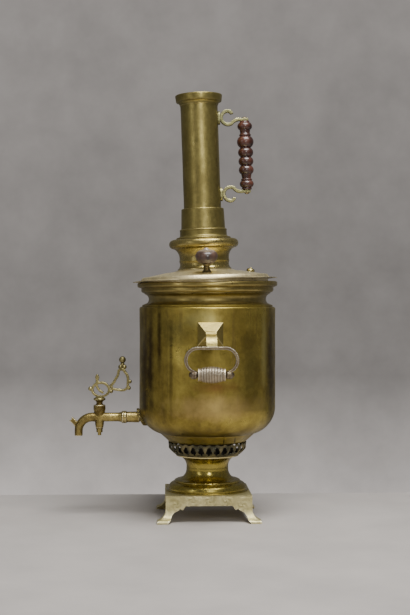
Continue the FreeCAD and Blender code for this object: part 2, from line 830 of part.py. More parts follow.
washer_top = -(s.tap_barrel_foot + s.moving_gap)
plug_end = washer_top - s.plug_screw_length
plug_neck_top = s.tap_barrel_top + s.plug_neck_length
plug_outline = [
    (0, plug_end),
    (s.plug_screw_radius, plug_end),
    (s.plug_screw_radius, washer_top + s.moving_gap),
    (s.plug_foot_radius, washer_top + s.moving_gap),
    (s.plug_top_radius, s.tap_barrel_top),
    (s.plug_neck_radius, s.tap_barrel_top + 1.2),
    hollow(0.9),
    (s.plug_neck_radius, plug_neck_top - 1.2),
    (s.plug_neck_radius + 1.0, plug_neck_top),
    (s.key_spindle_radius, plug_neck_top),
    (s.key_spindle_radius, plug_neck_top + s.key_collar_height * 0.8),
    (0, plug_neck_top + s.key_collar_height * 0.8),
]
tap_plug = turned_piece("tap_plug", plug_outline, tap_seat)
cross_hole = new_sketch(tap_plug, "XZ_Plane", circles=[(0, 0, s.tap_bore_radius - 0.4)])
extrude(tap_plug, cross_hole, kind="Pocket")
screw_hole = s.plug_screw_radius + s.seat_fit
washer_foot = washer_top - s.plug_washer_height
turned_piece(
    "plug_washer",
    [(screw_hole, washer_foot), (s.plug_screw_radius + 2.9, washer_foot),
     (s.plug_screw_radius + 2.9, washer_top), (screw_hole, washer_top)],
    tap_seat,
)
plug_nut = new_body("plug_nut", tap_seat)
flats = hexagon(s.plug_screw_radius + 2.2)
plug_nut_sketch = new_sketch(plug_nut, "XY_Plane", [flats], circles=[(0, 0, screw_hole)], offset=washer_foot)
extrude(plug_nut, plug_nut_sketch, s.plug_nut_height, side="One side", reverse=True)

# Key
# An openwork casting pinned on the plug: a collar, a ring with a curl in it, and a larger loop.

key_foot = plug_neck_top
key_scroll = new_body("key_scroll", tap_seat)
key_hole = s.key_spindle_radius + s.seat_fit
collar_top = key_foot + s.key_collar_height
collar_outline = [
    (key_hole, key_foot),
    (s.key_collar_radius - 2.6, key_foot),
    (s.key_collar_radius, key_foot + s.key_collar_height * 0.25),
    swell(0.7),
    (s.key_collar_radius, key_foot + s.key_collar_height * 0.7),
    (s.key_collar_radius - 3.4, collar_top),
    (0, collar_top + 1.0),
    (0, key_foot + s.key_collar_height * 0.85),
    (key_hole, key_foot + s.key_collar_height * 0.85),
]
revolve(key_scroll, new_sketch(key_scroll, "XZ_Plane", [collar_outline]))
ring_x = 2.0
ring_z = collar_top - 0.6 + s.key_ring_half_height
ring_line = [
    (ring_x - s.key_ring_half_width, ring_z),
    swell(0.71),
    (ring_x, ring_z - s.key_ring_half_height),
    swell(0.71),
    (ring_x + s.key_ring_half_width, ring_z),
    swell(0.71),
    (ring_x, ring_z + s.key_ring_half_height),
    swell(0.71),
]
ring_sketch = new_sketch(key_scroll, "XZ_Plane", [ring_line, inset(ring_line, s.key_band, closed=True)])
extrude(key_scroll, ring_sketch, s.key_depth)
loop_x = ring_x + s.key_ring_half_width - 1.0
loop_z = ring_z
loop_line = [
    (loop_x - 0.3, loop_z + 6.8),
    (loop_x + 3.6, loop_z - 0.4),
    (loop_x + 17.8, loop_z - 2.4),
    swell(0.85),
    (loop_x + 30.6, loop_z + 3.6),
    (loop_x + 31.2, loop_z + 15.6),
    swell(1.2),
    (loop_x + 25.7, loop_z + 29.6),
    swell(0.7),
    (loop_x + 19.7, loop_z + 34.2),
    swell(0.7),
    (loop_x + 12.7, loop_z + 29.6),
    hollow(1.4),
    (loop_x + 8.4, loop_z + 18.6),
    hollow(2.0),
]
loop_sketch = new_sketch(key_scroll, "XZ_Plane", [loop_line, inset(loop_line, s.key_band, closed=True)])
extrude(key_scroll, loop_sketch, s.key_depth)
curl_root = (ring_x - 5.8, ring_z + s.key_ring_half_height - 1.4)
curl_line = [(ring_x + 4.6, ring_z - 3.6), hollow(0.9), curl_root]
curl_sketch = new_sketch(key_scroll, "XZ_Plane", [sheet_outline(curl_line, s.key_band * 0.9)])
extrude(key_scroll, curl_sketch, s.key_depth * 0.9)
bud_foot = ring_z + s.key_ring_half_height - 2.0
bud_line = [
    (ring_x - 8.4, bud_foot),
    (ring_x - 2.6, bud_foot),
    hollow(1.1),
    (ring_x - 3.4, bud_foot + 7.4),
    swell(0.8),
    (ring_x - 5.8, bud_foot + 14.2),
    swell(0.9),
    (ring_x - 8.2, bud_foot + 7.4),
    hollow(1.4),
]
extrude(key_scroll, new_sketch(key_scroll, "XZ_Plane", [bud_line]), s.key_depth * 0.9)
finial_x = loop_x + 20.6
finial_z = loop_z + 36.6
ball(key_scroll, finial_x, 0, finial_z + 11.6, s.key_ball_radius)
ball(key_scroll, finial_x, 0, finial_z + 4.4, s.key_ball_radius * 0.56)
for side in (-1, 1):
    ball(key_scroll, finial_x + side * 3.0, 0, finial_z, s.key_ball_radius * 0.66)
ball(key_scroll, ring_x - s.key_ring_half_width - 1.4, 0, ring_z + 1.6, s.key_ball_radius * 0.6)
ball(key_scroll, loop_x + 32.8, 0, loop_z + 13.0, s.key_ball_radius * 0.5)
ball(key_scroll, loop_x + 31.0, 0, loop_z + 2.6, s.key_ball_radius * 0.55)
ball(key_scroll, loop_x + 2.4, 0, loop_z - 2.6, s.key_ball_radius * 0.55)

# Side handles
# Each has a square cast bracket with a neck bent out and down, a stirrup brazed under the neck,
# and a ribbed grip that rolls on a rod between the stirrup's two knuckles.

grip_height = s.bracket_height - s.grip_drop
bracket_face = s.body_radius + s.bracket_stand
stirrup_top = s.stirrup_rise - s.grip_drop
half_bracket = s.bracket_width / 2
half_neck = s.neck_width / 2 + 0.5
strap_bend = s.stirrup_half_width - 20.5
ring_share = 0.70711


def handle_seat(turn, height):
    return (0, 0, height), FreeCAD.Rotation(FreeCAD.Vector(0, 0, 1), turn)


def rectangle(half_width, low, high):
    return [(half_width, low), (half_width, high), (-half_width, high), (-half_width, low)]


def side_bracket(label, turn):
    """Square frustum and bent neck, cut behind to the curve of the drum."""
    body = new_body(label, handle_seat(turn, s.bracket_height))
    loft = body.newObject("PartDesign::AdditiveLoft", label + "_loft")
    back = rectangle(half_bracket, -(half_bracket - 1.5), half_bracket - 1.5)
    front = rectangle(half_neck, -(s.neck_depth / 2), s.neck_depth / 2)
    loft.Profile = new_sketch(body, "XZ_Plane", [back], offset=s.body_radius + 1.2)
    loft.Sections = [(new_sketch(body, "XZ_Plane", [front], offset=bracket_face), [""])]
    foot = new_sketch(body, "XZ_Plane", [back], offset=s.body_radius - 3.0)
    extrude(body, foot, 4.2, side="One side")
    near = -(bracket_face - 2.0)
    neck_tip = -(s.grip_reach + 4.0)
    neck_line = [
        (near, s.neck_depth * 0.5 - 0.4),
        (-(bracket_face + 1.0), s.neck_depth * 0.5 - 0.4),
        swell(0.56),
        (-(bracket_face + 5.6), s.neck_depth * 0.5 - 1.0),
        swell(0.56),
        (-(bracket_face + 9.0), s.neck_depth * 0.5 - 3.6),
        swell(0.9),
        (neck_tip, stirrup_top),
        (neck_tip + s.neck_depth, stirrup_top),
        hollow(0.9),
        (-(bracket_face + 4.0), -s.neck_depth * 0.5),
        (near, -s.neck_depth * 0.5),
    ]
    extrude(body, new_sketch(body, "YZ_Plane", [neck_line]), s.neck_width)
    drum = new_sketch(body, "XY_Plane", circles=[(0, 0, s.body_radius + s.seat_fit)])
    extrude(body, drum, kind="Pocket")


def stirrup(label, turn):
    """Flat strap bent into a loop that ends in two round knuckles."""
    body = new_body(label, handle_seat(turn, grip_height))
    low_x = s.stirrup_half_width - strap_bend + strap_bend * 0.2588
    low_z = s.stirrup_rise - strap_bend - strap_bend * 0.9659
    side = [
        (low_x, low_z),
        swell(0.8213),
        (s.stirrup_half_width, s.stirrup_rise - strap_bend),
        swell(ring_share),
        (s.stirrup_half_width - strap_bend, s.stirrup_rise),
    ]
    strap = sheet_outline(side + mirrored(side), s.stirrup_thickness)
    half_depth = s.stirrup_depth / 2
    extrude(body, new_sketch(body, "XZ_Plane", [strap], offset=s.grip_reach - half_depth),
            s.stirrup_depth, side="One side")
    inner = s.grip_half_length + s.moving_gap
    outer = inner + s.stirrup_knuckle_length
    hole = s.grip_rod_radius + s.seat_fit
    knuckle = [
        (inner, hole),
        (outer, hole),
        (outer, s.stirrup_knuckle_radius * 0.62),
        swell(0.72),
        ((inner + outer) / 2, s.stirrup_knuckle_radius),
        swell(0.72),
        (inner, s.stirrup_knuckle_radius * 0.62),
    ]
    both = new_sketch(body, "XZ_Plane", [knuckle, mirrored(knuckle)], offset=s.grip_reach)
    revolve(body, both, axis="H_Axis")
    rod_hole = new_sketch(body, "YZ_Plane", circles=[(-s.grip_reach, 0, hole)])
    extrude(body, rod_hole, kind="Pocket")


def grip_rod(label, turn):
    """The rod through knuckles and grip, peened over at both ends."""
    end = s.grip_half_length + s.moving_gap + s.stirrup_knuckle_length
    half = [
        (s.grip_rod_radius, 0),
        (s.grip_rod_radius, end),
        (s.grip_rod_radius + 1.2, end),
        swell(0.62),
        (0.6, end + 2.0),
        (0, end + 2.0),
    ]
    lower = [(0, -end - 2.0), (0.6, -end - 2.0), swell(0.62),
             (s.grip_rod_radius + 1.2, -end), (s.grip_rod_radius, -end)]
    turned_piece(label, lower + half[1:], across_seat(turn))


def across_seat(turn):
    """A seat at the grip's middle, turned so that its own Z axis lies along the grip."""
    aside = FreeCAD.Rotation(FreeCAD.Vector(0, 1, 0), 90)
    sign = -1 if turn == 0 else 1
    return (0, sign * s.grip_reach, grip_height), FreeCAD.Rotation(FreeCAD.Vector(0, 0, 1), turn) * aside


def side_grip(label, turn):
    """A cast barrel with turned ribs between two plain collars."""
    bore = s.grip_rod_radius + s.running_fit
    half = s.grip_half_length
    ribbed = half - 3.0
    ribs = SIZES["grip_ribs"]
    pitch = ribbed * 2 / ribs
    outline = [(bore, -half), (s.grip_radius - 3.6, -half), (s.grip_radius - 3.6, -ribbed)]
    for rib in range(ribs):
        middle = (rib + 0.5) / ribs * 2 - 1
        crown = s.grip_radius - round(3.0 * middle ** 2, 3)
        foot = -ribbed + pitch * rib
        outline += [(crown - 1.4, foot + pitch * 0.12), swell(0.54), (crown - 1.4, foot + pitch * 0.88)]
    outline += [(s.grip_radius - 3.6, ribbed), (s.grip_radius - 3.6, half), (bore, half)]
    turned_piece(label, outline, across_seat(turn))


for side_name, quarter in (("near", 0), ("far", 180)):
    side_bracket(f"{side_name}_side_bracket", quarter)
    stirrup(f"{side_name}_stirrup", quarter)
    grip_rod(f"{side_name}_grip_rod", quarter)
    side_grip(f"{side_name}_side_grip", quarter)

# Lid
# Spun sheet with a flat brim, a stepped edge, a shallow cone and a raised ring for the collar.
# Its frame is the middle of the brim. It rests on the rim's left edge, so it leans.

brim_lift = (s.rim_radius - 1.5) * sine(s.lid_lean) + s.lid_sheet + s.moving_gap
lid_height = rim_top + brim_lift
lean_turn = FreeCAD.Rotation(FreeCAD.Vector(0, 1, 0), -SIZES["lid_lean"])


def lid_seat(across=0, depth=0, up=0, turn=FreeCAD.Rotation()):
    """A seat given in the leaning frame of the lid."""
    x = s.lid_offset + cosine(s.lid_lean) * across - sine(s.lid_lean) * up
    z = lid_height + sine(s.lid_lean) * across + cosine(s.lid_lean) * up
    return (x, depth, z), lean_turn * turn


step_radius = s.lid_radius - s.lid_flange_width
cone_foot = step_radius - 6.5
lid_line = [
    (s.lid_radius, 0),
    (step_radius, 0.6),
    (step_radius - 0.4, 2.4),
    swell(0.72),
    (cone_foot, s.lid_step_height),
    (s.lid_cone_radius, s.lid_cone_height),
    hollow(2.4),
    (s.collar_foot_radius + 0.6, s.lid_crown_height),
    (s.lid_hole_radius, s.lid_crown_height),
]
turned_piece("lid_plate", sheet_outline(lid_line, s.lid_sheet), lid_seat())
skirt_inner = s.lid_skirt_radius - s.lid_skirt_sheet
skirt_top = 2.4 - s.lid_sheet * 1.4
turned_piece(
    "lid_skirt",
    [(skirt_inner, -s.lid_skirt_depth), (s.lid_skirt_radius, -s.lid_skirt_depth),
     (s.lid_skirt_radius, skirt_top), (skirt_inner, skirt_top)],
    lid_seat(),
)

# Collar
# A spun neck on the lid with a large half-round moulding, and a lip that the chimney drops over.

torus_inner = s.collar_torus_radius - s.collar_torus_height / 2
torus_foot = s.collar_height - s.collar_torus_height - 0.8
collar_line = [
    (s.collar_foot_radius, 0),
    (s.collar_foot_radius, 1.8),
    (s.collar_foot_radius - 1.6, 2.8),
    hollow(0.95),
    (s.collar_waist_radius, 14.0),
    hollow(0.9),
    (s.collar_waist_radius + 6.4, torus_foot - 1.2),
    (torus_inner, torus_foot),
    swell(0.51),
    (torus_inner, torus_foot + s.collar_torus_height),
    (s.socket_foot_radius, s.collar_height),
    (s.collar_lip_radius, s.collar_height),
    (s.collar_lip_radius, s.collar_height + s.collar_lip_height),
]
turned_piece("lid_collar", sheet_outline(collar_line, s.collar_sheet), lid_seat(0, 0, s.lid_crown_height))

# Knobs
# A turned wooden head on a brass stem, square to the cone of the lid, near and far.

cone_rise = s.lid_cone_height - s.lid_step_height
cone_run = cone_foot - s.lid_cone_radius
cone_slope = math.degrees(math.atan2(cone_rise.number, cone_run.number))


def on_cone(radius):
    """The height of the lid's cone at a distance from its axis."""
    return s.lid_step_height + cone_rise * (cone_foot - radius) / cone_run


stem_outline = [
    (0, 0),
    (8.0, 0),
    (8.0, 1.2),
    hollow(0.8),
    (5.0, s.knob_stem_height * 0.5),
    (5.0, s.knob_stem_height * 0.68),
    (6.2, s.knob_stem_height * 0.84),
    (6.2, s.knob_stem_height),
    (s.knob_spindle_radius, s.knob_stem_height),
    (s.knob_spindle_radius, s.knob_stem_height + s.knob_height * 0.48),
    (0, s.knob_stem_height + s.knob_height * 0.48),
]
knob_foot = s.knob_stem_height
knob_outline = [
    (s.knob_spindle_radius + s.seat_fit, knob_foot),
    (s.knob_radius * 0.36, knob_foot),
    swell(0.72),
    (s.knob_radius, knob_foot + s.knob_height * 0.5),
    swell(0.75),
    (s.knob_radius * 0.52, knob_foot + s.knob_height * 0.84),
    hollow(1.2),
    (s.knob_radius * 0.2, knob_foot + s.knob_height * 0.95),
    swell(0.8),
    (s.knob_radius * 0.06, knob_foot + s.knob_height),
    (0, knob_foot + s.knob_height),
    (0, knob_foot + s.knob_height * 0.5),
    (s.knob_spindle_radius + s.seat_fit, knob_foot + s.knob_height * 0.5),
]
for side_name, sign in (("near", -1), ("far", 1)):
    tilt = FreeCAD.Rotation(FreeCAD.Vector(1, 0, 0), -sign * cone_slope)
    seat = lid_seat(0, sign * s.knob_circle_radius, on_cone(s.knob_circle_radius), tilt)
    turned_piece(f"{side_name}_knob_stem", stem_outline, seat)
    turned_piece(f"{side_name}_lid_knob", knob_outline, seat)

# Steam vent
# A small turning cap over a seat ring on the lid, held by a riveted pin.

vent_seat_place = lid_seat(
    s.vent_circle_radius, 0, on_cone(s.vent_circle_radius),
    FreeCAD.Rotation(FreeCAD.Vector(0, 1, 0), cone_slope),
)
pin_hole = s.vent_pin_radius + s.running_fit
vent_seat = turned_piece(
    "vent_seat",
    [(s.vent_pin_radius + s.seat_fit, 0), (s.vent_radius + 0.6, 0), (s.vent_radius, s.vent_seat_height),
     (s.vent_pin_radius + s.seat_fit, s.vent_seat_height)],
    vent_seat_place,
)
cap_foot = s.vent_seat_height + s.moving_gap
cap_top = cap_foot + s.vent_cap_height
vent_cap = turned_piece(
    "vent_cap",
    [(pin_hole, cap_foot), (s.vent_radius, cap_foot), (s.vent_radius, cap_foot + s.vent_cap_height * 0.35),
     swell(0.9), (s.vent_pin_radius + 2.2, cap_top), (pin_hole, cap_top)],
    vent_seat_place,
)
turned_piece(
    "vent_pin",
    [(0, 0), (s.vent_pin_radius, 0), (s.vent_pin_radius, cap_top + s.moving_gap),
     (s.vent_pin_radius + 1.0, cap_top + s.moving_gap), swell(0.7), (0.4, cap_top + s.moving_gap + 1.3),
     (0, cap_top + s.moving_gap + 1.3)],
    vent_seat_place,
)

# Chimney
# A socket that stands on the collar, a plain pipe soldered in it, and a moulded ring cast on top.

socket_foot = s.lid_crown_height + s.collar_height + s.moving_gap
socket_line = [
    (s.socket_foot_radius, 0),
    swell(0.6),
    (s.socket_foot_radius - 0.6, 2.0),
    hollow(0.75),
    (s.socket_radius + 0.2, 5.4),
    (s.socket_radius, 12.4),
    swell(0.55),
    (s.socket_radius - 0.8, 15.2),
    (s.socket_radius - 2.2, 15.8),
    (s.socket_top_radius, s.socket_height - 1.6),
    swell(0.72),
    (s.socket_top_radius - 1.4, s.socket_height),
    (s.pipe_radius + s.seat_fit, s.socket_height),
]
turned_piece("chimney_socket", sheet_outline(socket_line, s.socket_sheet), lid_seat(0, 0, socket_foot))
pipe_foot = socket_foot + s.socket_height - s.pipe_insertion
pipe_inner = s.pipe_radius - s.pipe_sheet
chimney_pipe = turned_piece(
    "chimney_pipe",
    [(pipe_inner, 0), (s.pipe_radius, 0), (s.pipe_radius, s.pipe_height), (pipe_inner, s.pipe_height)],
    lid_seat(0, 0, pipe_foot),
)
ring_foot = pipe_foot + s.pipe_height - s.top_ring_height
ring_outline = [
    (s.pipe_radius + s.seat_fit, 0),
    (s.pipe_radius + 0.9, 0.6),
    hollow(0.78),
    (s.top_ring_radius - 1.4, 6.4),
    (s.top_ring_radius, s.top_ring_height - 1.2),
    swell(0.72),
    (s.top_ring_radius - 1.2, s.top_ring_height),
    (s.pipe_radius + s.seat_fit, s.top_ring_height),
]
turned_piece("chimney_top_ring", ring_outline, lid_seat(0, 0, ring_foot))

# Chimney handle
# Two cast scroll arms riveted to the pipe through oval lugs, and a turned grip on a rod between them.

curl_x = s.pipe_radius + s.lug_thickness + s.arm_curl_radius
half_grip = s.chimney_grip_length / 2 + s.moving_gap
handle_middle = s.lid_crown_height + s.collar_height + s.handle_height
curl_rise = half_grip + s.arm_thickness + 1.6
eye_half = 6.0


def scroll_arm(label, sign):
    """A flat bar: an eye over the grip's end, a reversed sweep and a curl that meets the lug."""
    body = new_body(label, lid_seat(0, 0, handle_middle))
    radius = s.arm_curl_radius

    def on_curl(angle):
        turned_x = curl_x + radius * round(math.cos(math.radians(angle)), 4)
        return turned_x, curl_rise + radius * round(math.sin(math.radians(angle)), 4)

    upper = [
        (curl_x + radius * 0.62, curl_rise + radius * 0.5),
        swell(0.85),
        on_curl(90.0),
        swell(ring_share),
        on_curl(180.0),
        swell(0.5717),
        on_curl(-58.0),
        hollow(0.9),
        (s.handle_reach - eye_half, half_grip),
        (s.handle_reach + eye_half, half_grip),
    ]
    line = upper if sign == 1 else upside_down(upper)
    outline = sheet_outline(line, s.arm_thickness)
    extrude(body, new_sketch(body, "XZ_Plane", [outline]), s.arm_depth)
    eye = new_sketch(body, "XY_Plane", circles=[(s.handle_reach, 0, s.chimney_rod_radius + s.seat_fit)])
    extrude(body, eye, kind="Pocket")


def lug(label, sign):
    """An oval plate with its back cut to the pipe."""
    body = new_body(label, lid_seat(0, 0, handle_middle))
    middle = sign * curl_rise
    half_height = s.lug_height / 2
    half_width = s.lug_width / 2
    straight = half_height - half_width
    oval = [
        (half_width, middle - straight),
        (half_width, middle + straight),
        swell(ring_share),
        (0, middle + half_height),
        swell(ring_share),
        (-half_width, middle + straight),
        (-half_width, middle - straight),
        swell(ring_share),
        (0, middle - half_height),
        swell(ring_share),
    ]
    front = s.pipe_radius + s.lug_thickness
    extrude(body, new_sketch(body, "YZ_Plane", [oval], offset=front), s.lug_thickness + 3.0,
            side="One side", reverse=True)
    around_pipe = new_sketch(body, "XY_Plane", circles=[(0, 0, s.pipe_radius + s.seat_fit)])
    extrude(body, around_pipe, kind="Pocket")


scroll_arm("upper_scroll_arm", 1)
scroll_arm("lower_scroll_arm", -1)
lug("upper_lug", 1)
lug("lower_lug", -1)

grip_seat = lid_seat(s.handle_reach, 0, handle_middle)
rod_end = half_grip + s.arm_thickness
turned_piece(
    "chimney_grip_rod",
    [(0, -rod_end - 2.2), (0.6, -rod_end - 2.2), swell(0.7), (s.chimney_rod_radius + 1.8, -rod_end),
     (s.chimney_rod_radius, -rod_end), (s.chimney_rod_radius, rod_end),
     (s.chimney_rod_radius + 1.8, rod_end), swell(0.7), (0.6, rod_end + 2.2), (0, rod_end + 2.2)],
    grip_seat,
)
unit = s.chimney_grip_length / 70.0
full = s.chimney_grip_radius
grip_line = [
    (s.chimney_rod_radius + s.running_fit, 0),
    (full * 0.6, 0),
    (full * 0.62, unit * 2.2),
    (full * 0.7, unit * 2.6),
    swell(0.58),
    (full * 0.7, unit * 9.1),
    (full * 0.73, unit * 9.6),
    (full * 0.73, unit * 10.8),
    (full * 0.6, unit * 11.6),
    (full * 0.7, unit * 15.8),
]
for low, high in ((16.0, 24.2), (24.8, 33.0), (33.6, 42.4), (43.0, 54.4)):
    grip_line += [(full * 0.72, unit * low), swell(0.6), (full * 0.72, unit * high)]
grip_line += [
    (full * 0.76, unit * 55.0),
    (full * 0.76, unit * 56.4),
    hollow(0.8),
    (full * 0.7, unit * 59.6),
    (full * 0.7, unit * 61.0),
    swell(0.56),
    (full * 0.68, unit * 68.4),
    (full * 0.62, unit * 70.0),
    (s.chimney_rod_radius + s.running_fit, unit * 70.0),
]
grip_foot = handle_middle - s.chimney_grip_length / 2
turned_piece("chimney_grip", grip_line, lid_seat(s.handle_reach, 0, grip_foot))

# Every feature and every piece has to be sound before anything is written.
doc.recompute()
failed = [o.Label for o in doc.Objects if "Invalid" in o.State or "Error" in o.State]
if failed:
    raise RuntimeError(f"features failed: {failed}")
for piece in pieces:
    if piece.Shape.isNull() or not piece.Shape.isValid():
        raise RuntimeError(f"{piece.Label} has no valid shape")
os.makedirs("parts", exist_ok=True)
for piece in pieces:
    piece.Shape.exportStep(f"parts/{piece.Label}.step")
    print(f"{piece.Label}: {len(piece.Shape.Solids)} solid, {piece.Shape.Volume / 1000:.1f} cm3")
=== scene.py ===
import math

import bmesh
import bpy
import numpy as np
from mathutils import Matrix, Vector, noise


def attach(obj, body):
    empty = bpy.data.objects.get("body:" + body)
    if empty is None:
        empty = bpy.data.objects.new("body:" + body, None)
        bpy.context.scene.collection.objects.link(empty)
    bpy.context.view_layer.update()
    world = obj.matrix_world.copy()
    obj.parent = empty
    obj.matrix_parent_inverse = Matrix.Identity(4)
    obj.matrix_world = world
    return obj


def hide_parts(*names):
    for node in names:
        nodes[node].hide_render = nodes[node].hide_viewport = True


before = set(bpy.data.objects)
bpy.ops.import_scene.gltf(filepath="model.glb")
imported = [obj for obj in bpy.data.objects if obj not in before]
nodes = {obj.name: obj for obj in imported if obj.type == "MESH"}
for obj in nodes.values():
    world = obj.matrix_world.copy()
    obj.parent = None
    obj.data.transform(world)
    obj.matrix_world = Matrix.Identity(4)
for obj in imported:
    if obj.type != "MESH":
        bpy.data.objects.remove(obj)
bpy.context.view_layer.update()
mm = 0.001

# Plinth
# A sand-cast brass stand on four splayed feet, tan and rough. Its scrolled ornament is worn
# almost flat, and its arrises are rubbed bright.


def placed(name, data):
    """A new object in the scene, at the origin."""
    piece = bpy.data.objects.new(name, data)
    bpy.context.scene.collection.objects.link(piece)
    return piece


def as_mesh(piece):
    """The plain mesh that a piece's curve or modifiers come to."""
    state = bpy.context.evaluated_depsgraph_get()
    return bpy.data.meshes.new_from_object(piece.evaluated_get(state))


def recast(name, source, voxel, rounding):
    """A casting of a CAD solid: one closed skin whose edges are rounded as a mould leaves them."""
    mesh = nodes[source].data.copy()
    mesh.materials.clear()
    raw = bmesh.new()
    raw.from_mesh(mesh)
    bmesh.ops.remove_doubles(raw, verts=raw.verts, dist=2e-6)
    raw.to_mesh(mesh)
    raw.free()
    piece = placed(name, mesh)
    skin = piece.modifiers.new("skin", "REMESH")
    skin.mode = "VOXEL"
    skin.voxel_size = voxel * mm
    soften = piece.modifiers.new("soften", "SMOOTH")
    soften.factor = 0.5
    soften.iterations = rounding
    cast = as_mesh(piece)
    piece.modifiers.clear()
    piece.data = cast
    cast.name = name
    return piece


def moved_points(piece, shift):
    """Moves each point of a piece by shift(point, normal), which is in millimetres."""
    mesh = piece.data
    normals = [v.normal.copy() for v in mesh.vertices]
    for point, normal in zip(mesh.vertices, normals):
        point.co += shift(point.co / mm, normal) * mm
    mesh.update()


def roughened(piece, depth, size):
    """The uneven skin that a sand mould leaves."""
    def pitted(point, normal):
        return normal * depth * (noise.noise(point / size) + 0.5 * noise.noise(point / size * 2.7))
    moved_points(piece, pitted)


def weathered(piece, reach=3.0, smooth_angle=32.0):
    """Marks crests, which hands rub bright, and recesses, where dirt stays, and shades the piece."""
    mesh = piece.data
    count = len(mesh.vertices)
    place = np.empty(count * 3)
    mesh.vertices.foreach_get("co", place)
    place = place.reshape(-1, 3) / mm
    facing = np.array([v.vector for v in mesh.vertex_normals]).reshape(-1, 3)
    edge = np.empty(len(mesh.edges) * 2, int)
    mesh.edges.foreach_get("vertices", edge)
    edge = edge.reshape(-1, 2)
    one = np.concatenate([edge[:, 0], edge[:, 1]])
    other = np.concatenate([edge[:, 1], edge[:, 0]])
    share = np.maximum(np.bincount(one, minlength=count), 1)

    def around(values):
        return np.bincount(one, weights=values[other], minlength=count) / share

    lean = place - np.stack([around(place[:, axis]) for axis in range(3)], axis=1)
    length = np.linalg.norm(place[one] - place[other], axis=1)
    spacing = np.bincount(one, weights=length, minlength=count) / share
    bend = (lean * facing).sum(axis=1) / np.maximum(spacing, 1e-3) ** 2 * reach
    for _ in range(3):
        bend = 0.5 * bend + 0.5 * around(bend)
    mark = mesh.attributes.new("crest", "FLOAT", "POINT")
    mark.data.foreach_set("value", np.clip(bend, -1.0, 1.0).astype(np.float32))
    mesh.polygons.foreach_set("use_smooth", np.ones(len(mesh.polygons), bool))
    mesh.set_sharp_from_angle(angle=math.radians(smooth_angle))
    return piece


def add(tree, kind, inputs=None, **settings):
    """One node with its values and links. A kind without GeometryNode before it is a shader's."""
    node = tree.nodes.new(kind if kind.startswith("GeometryNode") else "ShaderNode" + kind)
    for setting, value in settings.items():
        setattr(node, setting, value)
    for socket, value in (inputs or {}).items():
        if isinstance(value, bpy.types.NodeSocket):
            tree.links.new(value, node.inputs[socket])
        else:
            node.inputs[socket].default_value = value
    return node


def mixed(tree, mask, first, second, blend="MIX"):
    """First where the mask is 0, second where it is 1."""
    node = add(tree, "Mix", {0: mask, 6: first, 7: second}, data_type="RGBA", blend_type=blend)
    return node.outputs[2]


def ramped(tree, value, low, high, start=0.0, end=1.0):
    """Start below low, end above high, and a slope between them."""
    node = add(tree, "MapRange", {0: value, 1: low, 2: high, 3: start, 4: end})
    return node.outputs[0]


def worked(tree, operation, *values):
    """A sum of numbers or sockets."""
    node = add(tree, "Math", dict(enumerate(values)), operation=operation)
    return node.outputs[0]


def clouds(tree, place, scale, detail, stretch=None, roughness=0.6):
    """Noise over the piece. A stretch of (1, 1, 0.1) draws it out along Z."""
    if stretch is not None:
        place = add(tree, "Mapping", {"Vector": place, "Scale": stretch}).outputs[0]
    settings = {"Vector": place, "Scale": scale, "Detail": detail, "Roughness": roughness}
    return add(tree, "TexNoise", settings).outputs["Fac"]


def grey(tree, value):
    return add(tree, "CombineColor", {0: value, 1: value, 2: value}).outputs[0]


def tint(red, green, blue):
    return (red, green, blue, 1.0)


# The patina that every brass piece shares, each with its own colours and amounts.
patina = bpy.data.node_groups.new("aged brass", "ShaderNodeTree")
for label, kind, value in (
    ("Metal", "NodeSocketColor", tint(0.5, 0.4, 0.2)),
    ("Tarnish", "NodeSocketColor", tint(0.2, 0.15, 0.05)),
    ("Stain", "NodeSocketColor", tint(0.08, 0.05, 0.02)),
    ("Rubbed", "NodeSocketColor", tint(0.8, 0.7, 0.45)),
    ("Crust", "NodeSocketColor", tint(0.3, 0.4, 0.3)),
    ("Tarnish Amount", "NodeSocketFloat", 0.5),
    ("Streaks", "NodeSocketFloat", 0.5),
    ("Specks", "NodeSocketFloat", 0.5),
    ("Wear", "NodeSocketFloat", 0.5),
    ("Dirt", "NodeSocketFloat", 0.5),
    ("Crust Amount", "NodeSocketFloat", 0.0),
    ("Roughness", "NodeSocketFloat", 0.35),
    ("Scale", "NodeSocketFloat", 1.0),
):
    socket = patina.interface.new_socket(label, in_out="INPUT", socket_type=kind)
    socket.default_value = value
patina.interface.new_socket("Color", in_out="OUTPUT", socket_type="NodeSocketColor")
for label in ("Roughness", "Metallic", "Height"):
    patina.interface.new_socket(label, in_out="OUTPUT", socket_type="NodeSocketFloat")
given = patina.nodes.new("NodeGroupInput").outputs
place = add(patina, "TexCoord").outputs["Object"]
scaled = add(patina, "VectorMath", {0: place, 3: given["Scale"]}, operation="SCALE").outputs[0]
broad = clouds(patina, scaled, 11.0, 3.0)
cloud = clouds(patina, scaled, 34.0, 6.0)
fine = clouds(patina, scaled, 190.0, 5.0, roughness=0.7)
grit = clouds(patina, scaled, 620.0, 2.0)
drips = clouds(patina, scaled, 70.0, 5.0, stretch=(1.0, 1.0, 0.07))
threads = clouds(patina, scaled, 260.0, 3.0, stretch=(1.0, 1.0, 0.05))
spun = clouds(patina, scaled, 900.0, 2.0, stretch=(0.02, 0.02, 1.0))
crest = add(patina, "Attribute", attribute_name="crest", attribute_type="GEOMETRY").outputs["Fac"]
both = worked(patina, "ADD", worked(patina, "MULTIPLY", broad, 0.5),
              worked(patina, "MULTIPLY", cloud, 0.5))
shifted = worked(patina, "ADD", both, worked(patina, "MULTIPLY", given["Tarnish Amount"], 0.16))
tarnish = ramped(patina, shifted, 0.48, 0.68)
colour = mixed(patina, tarnish, given["Metal"], given["Tarnish"])
drip = worked(patina, "MAXIMUM", ramped(patina, drips, 0.55, 0.72),
              ramped(patina, threads, 0.6, 0.78))
drip = worked(patina, "MULTIPLY", worked(patina, "MULTIPLY", drip, ramped(patina, broad, 0.36, 0.6)),
              given["Streaks"])
